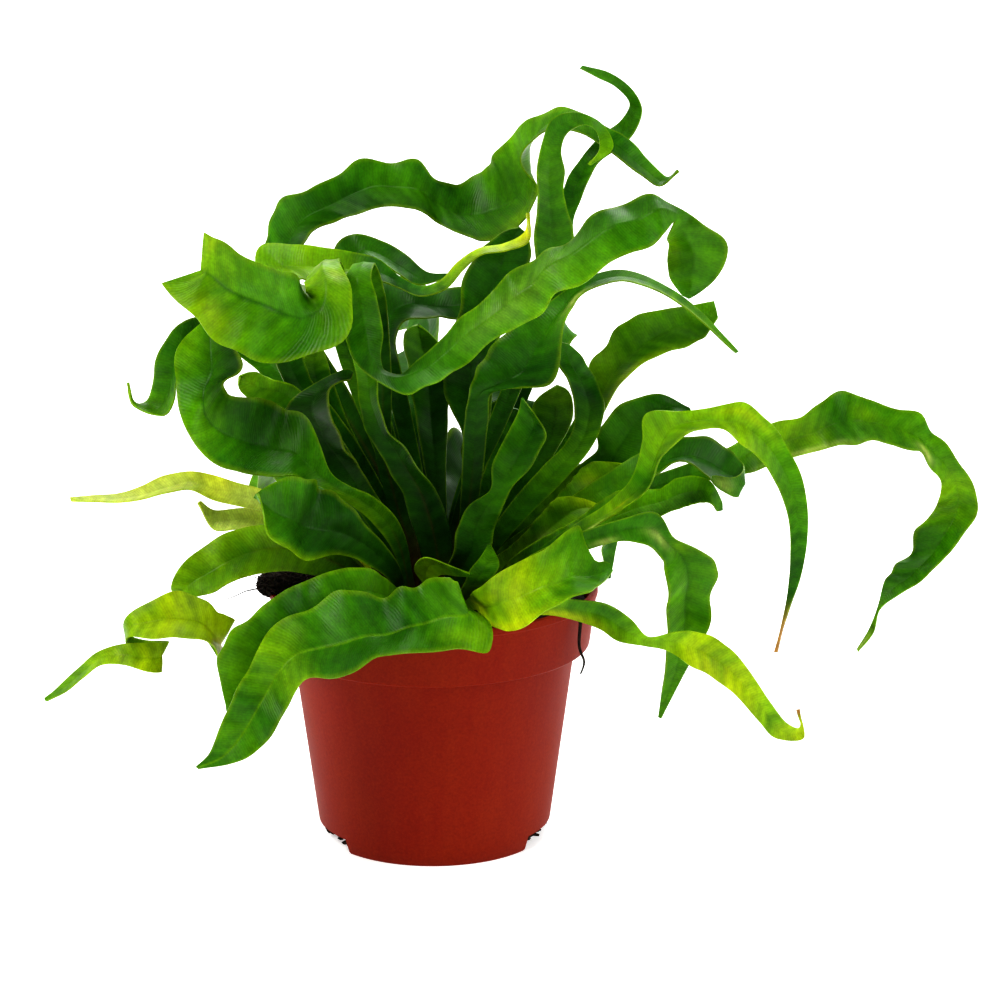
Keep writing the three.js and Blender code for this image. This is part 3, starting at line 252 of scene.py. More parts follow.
@dataclass(frozen=True)
class LeafFinish:
    """The waxy skin of a blade, with its fine side veins."""

    name: str
    gloss: float = 0.36
    underside: bool = False
    vein_spacing: float = 0.95
    vein_slant: float = 0.5

    def material(self) -> bpy.types.Material:
        """Builds the finish. It reads the blade's own tint and place attributes."""
        g = Graph(self.name)
        tint = g.attribute("tint", "Color")
        parts = g.add("ShaderNodeSeparateXYZ")
        g.link(g.attribute("place", "Vector"), parts.inputs[0])
        across, along = g.math("ABSOLUTE", parts.outputs[0]), parts.outputs[1]
        place = g.object_place()
        wander = g.noise(place, 90.0, 2.0)
        slanted = g.math("MULTIPLY_ADD", across, -self.vein_slant, along)
        line = g.math("ADD", slanted, g.math("MULTIPLY", wander, 2.2))
        veins = g.math("SINE", g.math("MULTIPLY", line, 2 * math.pi / self.vein_spacing))
        broad = g.math("SINE", g.math("MULTIPLY", line, 2 * math.pi / (5.3 * self.vein_spacing)))
        mottle = g.noise(place, 160.0, 4.0)
        fine = g.noise(place, 900.0, 2.0)
        level = g.math("MULTIPLY_ADD", veins, 0.05, g.ramp(mottle, 0.3, 0.7, 0.84, 1.16))
        level = g.math("MULTIPLY_ADD", broad, 0.06, level)
        level = g.math("MULTIPLY", level, g.ramp(fine, 0.35, 0.65, 0.90, 1.10))
        grey = g.add("ShaderNodeCombineXYZ")
        for socket in grey.inputs:
            g.link(level, socket)
        colour = g.mix(1.0, tint, grey.outputs[0], "MULTIPLY")
        if self.underside:
            colour = g.mix(0.35, colour, (0.13, 0.27, 0.03))
        g.link(colour, g.shader.inputs["Base Color"])
        rough = g.ramp(mottle, 0.3, 0.7, self.gloss - 0.05, self.gloss + 0.10)
        g.link(rough, g.shader.inputs["Roughness"])
        relief = g.math("MULTIPLY_ADD", veins, 0.5, g.math("MULTIPLY", fine, 0.5))
        g.bump(g.math("MULTIPLY_ADD", broad, 0.5, relief), 0.30, 0.00012)
        g.shader.inputs["IOR"].default_value = 1.45
        g.shader.inputs["Specular IOR Level"].default_value = 0.17
        g.shader.inputs["Subsurface Weight"].default_value = 0.15
        g.shader.inputs["Subsurface Radius"].default_value = (0.35, 1.0, 0.12)
        g.shader.inputs["Subsurface Scale"].default_value = 0.0012
        return g.material


@dataclass(frozen=True)
class PlasticFinish:
    """Moulded nursery-pot plastic, satin, with faint vertical streaks and dust."""

    name: str = "pot_plastic"
    base: Colour = (0.205, 0.0115, 0.0016)
    dusty: Colour = (0.36, 0.075, 0.012)

    def material(self) -> bpy.types.Material:
        """Builds the finish."""
        g = Graph(self.name)
        place = g.object_place()
        cloud = g.noise(place, 22.0, 4.0)
        speck = g.noise(place, 1100.0, 3.0, 0.7)
        stretch = g.add("ShaderNodeMapping")
        g.link(place, stretch.inputs["Vector"])
        stretch.inputs["Scale"].default_value = (1.0, 1.0, 0.12)
        streak = g.noise(stretch.outputs[0], 160.0, 3.0)
        level = g.math("MULTIPLY_ADD", g.math("SUBTRACT", cloud, 0.5), 0.30, 0.04)
        level = g.math("MULTIPLY_ADD", g.math("SUBTRACT", streak, 0.5), 0.16, level)
        colour = g.mix(level, self.base, self.dusty)
        grain = g.ramp(speck, 0.50, 0.72, 0.0, 0.30)
        colour = g.mix(grain, colour, (0.085, 0.005, 0.001))
        colour = g.mix(g.ramp(speck, 0.48, 0.30, 0.0, 0.16), colour, (0.36, 0.050, 0.005))
        g.link(colour, g.shader.inputs["Base Color"])
        g.link(g.ramp(cloud, 0.3, 0.7, 0.48, 0.60), g.shader.inputs["Roughness"])
        g.bump(g.math("ADD", g.math("MULTIPLY", speck, 0.6), streak), 0.22, 0.00025)
        g.shader.inputs["IOR"].default_value = 1.49
        g.shader.inputs["Specular IOR Level"].default_value = 0.12
        return g.material


@dataclass(frozen=True)
class EarthFinish:
    """Peat, roots or rhizome: a dark, rough, fibrous surface of two colours."""

    name: str
    dark: Colour
    pale: Colour
    scale: float = 300.0
    relief: float = 0.0006

    def material(self) -> bpy.types.Material:
        """Builds the finish."""
        g = Graph(self.name)
        place = g.object_place()
        coarse = g.noise(place, self.scale, 5.0, 0.65)
        fine = g.noise(place, self.scale * 4, 3.0, 0.7)
        share = g.ramp(coarse, 0.42, 0.72, 0.0, 1.0)
        colour = g.mix(share, self.dark, self.pale)
        colour = g.mix(g.ramp(fine, 0.35, 0.65, 0.0, 0.5), colour, self.dark)
        g.link(colour, g.shader.inputs["Base Color"])
        g.link(g.ramp(fine, 0.3, 0.7, 0.75, 1.0), g.shader.inputs["Roughness"])
        g.bump(g.math("ADD", coarse, fine), 0.9, self.relief)
        g.shader.inputs["Specular IOR Level"].default_value = 0.25
        return g.material


class BladeEnd(Enum):
    """How a wide blade ends."""

    ROUND = "round"
    SQUARE = "square"
    NOTCHED = "notched"


@dataclass(frozen=True)
class Mark:
    """A soft patch of another leaf colour: its place along and across, and its reach both ways in mm. Some patches are
    the leaf's own colour; others are painted shade in folds and hollows, or painted light and sheen on lit parts.
    """

    along: float
    across: float
    length: float
    width: float
    leaf: Leaf
    strength: float = 0.8


@dataclass(frozen=True)
class Waist:
    """A place where a blade twists and looks narrower, or wider when its share is over 1."""

    along: float
    reach: float
    share: float
    left: bool = True
    right: bool = True


@dataclass(frozen=True)
class BladeLook:
    """How one frond is shaped and coloured between its packed rings, in mm and shares of its length; its colours
    include painted light and painted shade.
    """

    stops: tuple[tuple[float, Leaf], ...]
    # Colour patches: some the leaf's own colour, some painted shade and painted light.
    marks: tuple[Mark, ...] = ()
    waists: tuple[Waist, ...] = ()
    # Painted light: lightens one side of the blade and darkens the other, as light falling from one side would.
    tilt: float = 0.0
    crinkle: float = 0.5
    side_folds: float = 0.16
    ruffle: float = 1.7
    ruffle_length: float = 27.0
    billow: float = 0.9
    billow_length: float = 21.0
    gutter: float = 0.10
    pleats: tuple[tuple[float, float, float], ...] = ()
    dry_tip: float = 0.0
    margin: float = 0.28
    dark_rib: float = 0.2
    pale_rib: float = 0.0
    # Painted shade: how much darker the blade gets towards its base, for the shade in the crowded core.
    shade: float = 0.35
    end: BladeEnd = BladeEnd.ROUND


def look(*stops: tuple[float, Leaf], **extra: object) -> BladeLook:
    """A blade look from colour stops and any sizes that differ from the usual ones."""
    return BladeLook(tuple(stops), **extra)


class Rings:
    """The cross-sections of a packed frond, from its root to its tip."""

    CENTRE = Vector((0.0, 0.0, 0.089))

    def __init__(self, node: bpy.types.Object) -> None:
        """Reads a node's mesh and orders its vertices ring by ring."""
        mesh = node.data
        mesh.calc_loop_triangles()
        places = np.array([v.co for v in mesh.vertices])
        _, first, label = np.unique(np.round(places / 2e-6), axis=0, return_index=True, return_inverse=True)
        self.places = places[first]
        label = label.reshape(-1)
        self.faces = [tuple(label[i] for i in t.vertices) for t in mesh.loop_triangles]
        self.near: dict[int, set[int]] = {i: set() for i in range(len(self.places))}
        for face in self.faces:
            for a in face:
                self.near[a].update(b for b in face if b != a)
        self.rings = self.ordered(self.levels())

    def levels(self) -> list[list[int]]:
        """Finds the root's end point and groups the vertices by steps from it.

        Returns:
            The groups of six, from root to tip.
        """
        away = np.linalg.norm(self.places - np.array(self.CENTRE), axis=1)
        for start in np.argsort(away)[:40]:
            seen = {int(start)}
            groups = [[int(start)]]
            while groups[-1]:
                ahead = {b for a in groups[-1] for b in self.near[a]} - seen
                seen |= ahead
                groups.append(sorted(ahead))
            sizes = [len(g) for g in groups[:-1]]
            if sizes[0] == 1 and sizes[-1] == 1 and all(s == 6 for s in sizes[1:-1]):
                return groups[1:-2]
        raise ValueError("a frond's rings can't be read")

    def ordered(self, groups: list[list[int]]) -> np.ndarray:
        """Orders each ring: left, rib and right above, then left, rib and right below.

        Args:
            groups: the rings' vertices.

        Returns:
            An array of places, ring by six by three.
        """
        level = {v: k for k, group in enumerate(groups) for v in group}
        follows: list[dict[int, int]] = [{} for _ in groups]
        for face in self.faces:
            ranks = [level.get(v, -1) for v in face]
            for i in range(3):
                a, b, c = i, (i + 1) % 3, (i + 2) % 3
                last = ranks[a] == len(groups) - 1 and ranks[c] == -1
                if ranks[a] == ranks[b] >= 0 and (ranks[c] == ranks[a] + 1 or last):
                    follows[ranks[a]][face[a]] = face[b]
        rows = []
        for k, group in enumerate(groups):
            if k + 1 < len(groups):
                ahead = set(groups[k + 1])
                start = max(group, key=lambda v: len(self.near[v] & ahead))
            else:
                behind = set(groups[k - 1])
                start = min(group, key=lambda v: len(self.near[v] & behind))
            cycle = [start]
            while len(cycle) < 6:
                cycle.append(follows[k][cycle[-1]])
            row = self.places[cycle]
            if rows:
                turns = [np.roll(row, -r, axis=0) for r in range(6)]
                want = rows[-1]
                row = min(turns, key=lambda t: float(np.sum((t - want) ** 2)))
            rows.append(row)
        return np.array([row[[0, 1, 2, 5, 4, 3]] for row in rows])

    def lines(self) -> tuple[np.ndarray, np.ndarray, np.ndarray]:
        """The middle surface's left edge, rib and right edge."""
        r = self.rings
        return (r[:, 0] + r[:, 3]) / 2, (r[:, 1] + r[:, 4]) / 2, (r[:, 2] + r[:, 5]) / 2


def spline(points: np.ndarray, at: np.ndarray) -> np.ndarray:
    """A Catmull-Rom curve through evenly stepped points.

    Args:
        points: the points, one row each.
        at: where to read it, counted in points.

    Returns:
        The places there.
    """
    padded = np.vstack([2 * points[0] - points[1], points, 2 * points[-1] - points[-2]])
    i = np.clip(at.astype(int), 0, len(points) - 2)
    t = (at - i)[:, None]
    a, b, c, d = (padded[i + k] for k in range(4))
    return 0.5 * (2 * b + (c - a) * t + (2 * a - 5 * b + 4 * c - d) * t**2 + (3 * b - a - 3 * c + d) * t**3)


def unit(v: np.ndarray) -> np.ndarray:
    """Vectors scaled to length one along their last axis."""
    return v / np.maximum(np.linalg.norm(v, axis=-1, keepdims=True), 1e-12)


@dataclass
class Frond:
    """One frond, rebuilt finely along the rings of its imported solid."""

    node: str
    slot: str
    look: BladeLook
    row_step: float = 1.3 * MM
    half_columns: int = 8
    blade_thickness: float = 0.55 * MM
    stem_thickness: float = 2.3 * MM
    rib_round: float = 0.3
    groove: float = 0.12 * MM

    def surface(self) -> tuple[np.ndarray, np.ndarray, np.ndarray, np.ndarray]:
        """Works out the blade's middle surface.

        Returns:
            The places, row by column, with the distance along, the distance across and the share across.
        """
        left, rib, right = Rings(frame["nodes"][self.node]).lines()
        rng = random.Random(self.node)
        steps = len(rib) - 1
        length = float(np.sum(np.linalg.norm(np.diff(rib, axis=0), axis=1)))
        rows = max(24, round(length / self.row_step))
        at = np.linspace(0, steps, rows + 1)
        left, rib, right = (spline(line, at) for line in (left, rib, right))
        along = np.gradient(rib, axis=0)
        way = unit(along)
        s = np.concatenate([[0], np.cumsum(np.linalg.norm(np.diff(rib, axis=0), axis=1))])
        share = s / s[-1]
        width = np.linalg.norm(right - left, axis=1)
        up = unit(np.cross(unit(right - left), way))
        self.shape_end(s, width, left, rib, right)
        for waist in self.look.waists:
            near = (1 - waist.share) * np.exp(-(((s - waist.along * s[-1]) / (waist.reach * MM)) ** 2))[:, None]
            if waist.left:
                left = left + (rib - left) * near
            if waist.right:
                right = right + (rib - right) * near
        k = np.arange(-self.half_columns, self.half_columns + 1) / self.half_columns
        a = np.sign(k) * np.abs(k) ** 1.25
        size = np.abs(a)[None]
        side = np.where(a[None, :, None] < 0, (left - rib)[:, None], (right - rib)[:, None])
        grid = rib[:, None] + side * size[..., None]
        open_blade = smooth(0.06, 0.2, share) * smooth(3 * MM, 16 * MM, width)
        bulk = (np.clip(width / (26 * MM), 0.2, 1.3) * open_blade)[:, None]
        lift = (0.03 * width * open_blade)[:, None] * (1 - (2 * size - 1) ** 2)
        lift = lift + (self.look.gutter * width * open_blade)[:, None] * (size**1.6 - 0.42)
        fold = np.sum(((left + right) / 2 - rib) * up, axis=1)
        lift = lift + fold[:, None] * (np.sqrt(size**2 + self.rib_round**2) - size)
        for hand in (-1, 1):
            turn = [rng.random() for _ in range(4)]
            wave = self.look.ruffle_length * (0.85 + 0.3 * rng.random()) * MM
            drift = 1.3 * np.sin(2 * math.pi * (s / (2.7 * wave) + turn[0]))
            first = np.sin(2 * math.pi * (s / wave + turn[1]) + drift)
            second = np.sin(2 * math.pi * (s / (0.47 * wave) + turn[2]) - 1.4 * drift)
            swell = 0.6 + 0.4 * np.sin(2 * math.pi * (s / (4.3 * wave) + turn[3]))
            edge = np.where(a * hand > 0, np.abs(a) ** 1.8, 0)[None]
            rise = self.look.ruffle * MM * bulk * swell[:, None] * edge
            lift = lift + rise * (first + 0.22 * second)[:, None]
            grid = grid + (rise * 0.3 * hand * second[:, None])[..., None] * unit(right - left)[:, None]
        turn = rng.random()
        long = self.look.billow_length * MM
        bend = np.sin(2 * math.pi * (s / long + turn) + 1.1 * np.sin(2 * math.pi * s / (3.3 * long)))
        lift = lift + self.look.billow * MM * bulk * bend[:, None] * (0.5 + 0.5 * size) * (1 + 0.35 * a[None])
        for place, spread, height in self.look.pleats:
            near = np.exp(-(((share - place) / spread) ** 2))[:, None]
            lift = lift + near * height * MM * size * np.sin(2 * math.pi * s / (5.5 * MM))[:, None]
        across = a[None] * width[:, None] / 2
        lift = lift + self.folds(s, across, size, rng.random()) * bulk
        lift = lift - self.groove * np.exp(-((across / (0.8 * MM)) ** 2)) * open_blade[:, None]
        grid = grid + lift[..., None] * up[:, None]
        return grid, s, across, np.broadcast_to(a, across.shape)

    def folds(self, s: np.ndarray, across: np.ndarray, size: np.ndarray, seed: float) -> np.ndarray:
        """Works out the small folds between the side veins and the uneven crinkles.

        Args:
            s: distance along.
            across: distance across, row by column.
            size: share of the half width.
            seed: where in the noise this blade starts.

        Returns:
            The height of the folds, row by column.
        """
        broad = np.empty(across.shape)
        fine = np.empty(across.shape)
        for i, row in enumerate(across / MM):
            for j, x in enumerate(row):
                y = s[i] / MM
                broad[i, j] = noise.noise(Vector((x / 7.0, y / 9.0, 40 * seed)))
                fine[i, j] = noise.noise(Vector((x / 3.2, y / 3.6, 40 * seed + 9)))
        line = s[:, None] - 0.75 * np.abs(across) + 2.2 * MM * broad
        veins = np.sin(2 * math.pi * line / (4.8 * MM)) * size**0.5 * (1 - size**6)
        return (self.look.crinkle * (broad + 0.3 * fine) * (0.3 + 0.7 * size) + self.look.side_folds * veins) * MM

    def shape_end(
        self, s: np.ndarray, width: np.ndarray, left: np.ndarray, rib: np.ndarray, right: np.ndarray
    ) -> None:
        """Rounds or notches the end of a blade that ends wide, in place.

        Args:
            s: distance along.
            width: the blade's width.
            left: its left edge.
            rib: its rib.
            right: its right edge.
        """
        end = float(width[-1])
        if end < 3 * MM or self.look.end is BladeEnd.SQUARE:
            return
        if self.look.end is BladeEnd.NOTCHED:
            near = smooth(s[-1] - 0.45 * end, s[-1], s)[:, None]
            rib += near * (rib[-1 - len(rib) // 12] - rib[-1]) * 0.35
            return
        taper = np.clip((s[-1] - s) / (0.55 * end), 0.0, 1.0)
        narrowed = np.maximum((1 - (1 - taper) ** 1.8) ** 0.6, 0.06)[:, None]
        left[:] = rib + (left - rib) * narrowed
        right[:] = rib + (right - rib) * narrowed

    def mesh(self) -> bpy.types.Object:
        """Adds a grid and lays it along the blade's middle surface, then gives it its thickness."""
        grid, s, across, a = self.surface()
        rows, columns = grid.shape[:2]
        deselect()
        bpy.ops.mesh.primitive_grid_add(x_subdivisions=columns - 1, y_subdivisions=rows - 1, size=1.0)
        piece = bpy.context.object
        piece.name = piece.data.name = f"{self.node}_blade"
        co = np.empty(len(piece.data.vertices) * 3)
        piece.data.vertices.foreach_get("co", co)
        co = co.reshape(-1, 3)
        column = np.rint((co[:, 0] + 0.5) * (columns - 1)).astype(int)
        row = np.rint((co[:, 1] + 0.5) * (rows - 1)).astype(int)
        piece.data.vertices.foreach_set("co", grid[row, column].ravel())
        share = s / s[-1]
        self.paint(piece, share[row], s[row] / MM, across[row, column] / MM, a[row, column])
        stem = 1 - smooth(0.03, 0.16, share[row])
        thin = self.blade_thickness / self.stem_thickness
        wide = np.linalg.norm(grid[:, -1] - grid[:, 0], axis=1)[row]
        weights = thin + (1 - thin) * np.maximum(stem, 0.3 * (1 - smooth(1.0 * MM, 3.5 * MM, wide)))
        group = piece.vertex_groups.new(name="thickness")
        for i, w in enumerate(weights):
            group.add([i], float(w), "REPLACE")
        shell = piece.modifiers.new("thickness", "SOLIDIFY")
        shell.thickness = self.stem_thickness
        shell.offset = 0.0
        shell.vertex_group = "thickness"
        shell.material_offset = 1
        apply_modifiers(piece)
        piece.vertex_groups.clear()
        return piece

    def paint(self, piece: bpy.types.Object, share: np.ndarray, s: np.ndarray, across: np.ndarray, a: np.ndarray) -> None:
        """Writes the blade's tint, with its painted shade and painted light, and its place attributes.

        Args:
            piece: the flat blade.
            share: share of the length, a value a vertex.
            s: distance along, in mm.
            across: distance from the rib, in mm.
            a: share of the half width.
        """
        rng = random.Random(self.node + "tint")
        ends = [share_at for share_at, _ in self.look.stops]
        tint = np.stack(
            [np.interp(share, ends, [leaf.value[c] for _, leaf in self.look.stops]) for c in range(3)], axis=1
        )
        phase = 50 * rng.random()
        veined = [noise.noise(Vector(((y - 0.7 * abs(x)) / 3.6, x / 15.0, phase))) for x, y in zip(across, s)]
        cloudy = [noise.noise(Vector((x / 14.0, y / 24.0, phase + 9))) for x, y in zip(across, s)]
        patch = (0.8 * np.array(veined) + np.array(cloudy))[:, None]
        tint = tint * (1 + patch * np.array([0.6, 0.4, 0.2]))
        # Painted shade: darker towards the base, standing in for the shade in the crowded core of the plant.
        tint = tint * (1 - self.look.shade * (1 - smooth(0.05, 0.42, share)))[:, None]
        # Painted light: one side of the blade lighter and the other darker, as light falling from one side would make
        # them.
        tint = tint * (1 + self.look.tilt * a)[:, None]

        def blend(weight: np.ndarray, leaf: Leaf) -> None:
            """Mixes a leaf colour in by a weight a vertex."""
            nonlocal tint
            tint = tint * (1 - weight[:, None]) + np.array(leaf.value) * weight[:, None]

        # The marks blend in the leaf's own colour patches as well as painted shade and painted light.
        for mark in self.look.marks:
            off = ((share - mark.along) * s.max() / mark.length) ** 2
            off = off + ((a - mark.across) * np.abs(across).max() / mark.width) ** 2
            blend(mark.strength * np.exp(-off), mark.leaf)
        blend(0.75 * (1 - smooth(0.02, 0.10, share)), Leaf.BROWN)
        rib = np.exp(-((across / 0.5) ** 2)) * smooth(0.02, 0.05, share)
        blend(0.35 * rib * (1 - smooth(self.look.dark_rib * 0.6, self.look.dark_rib + 0.1, share)), Leaf.BROWN)
        blend(0.08 * rib * smooth(self.look.dark_rib, self.look.dark_rib + 0.2, share), Leaf.DEEP)
        blend(self.look.pale_rib * rib * smooth(0.1, 0.3, share), Leaf.LIGHT)
        blend(self.look.margin * smooth(0.93, 1.0, np.abs(a)) * smooth(0.12, 0.25, share), Leaf.LIME)
        if self.look.dry_tip:
            left_over = (1 - share) * s.max()
            blend(1 - smooth(self.look.dry_tip * 0.4, self.look.dry_tip * 1.6, left_over), Leaf.DRY)
        colours = np.concatenate([np.clip(tint, 0, 1), np.ones((len(tint), 1))], axis=1)
        piece.data.color_attributes.new("tint", "FLOAT_COLOR", "POINT").data.foreach_set("color", colours.ravel())
        place = np.stack([across, s, np.zeros_like(s)], axis=1)
        piece.data.attributes.new("place", "FLOAT_VECTOR", "POINT").data.foreach_set("vector", place.ravel())

    def build(self, above: bpy.types.Material, below: bpy.types.Material) -> bpy.types.Object:
        """Builds and dresses the frond.

        Args:
            above: the finish of the upper face.
            below: the finish of the underside.

        Returns:
            The finished piece.
        """
        piece = self.mesh()
        piece.data.materials.clear()
        piece.data.materials.append(above)
        piece.data.materials.append(below)
        shade(piece, 60)
        settle(piece, [self.node])
        return piece
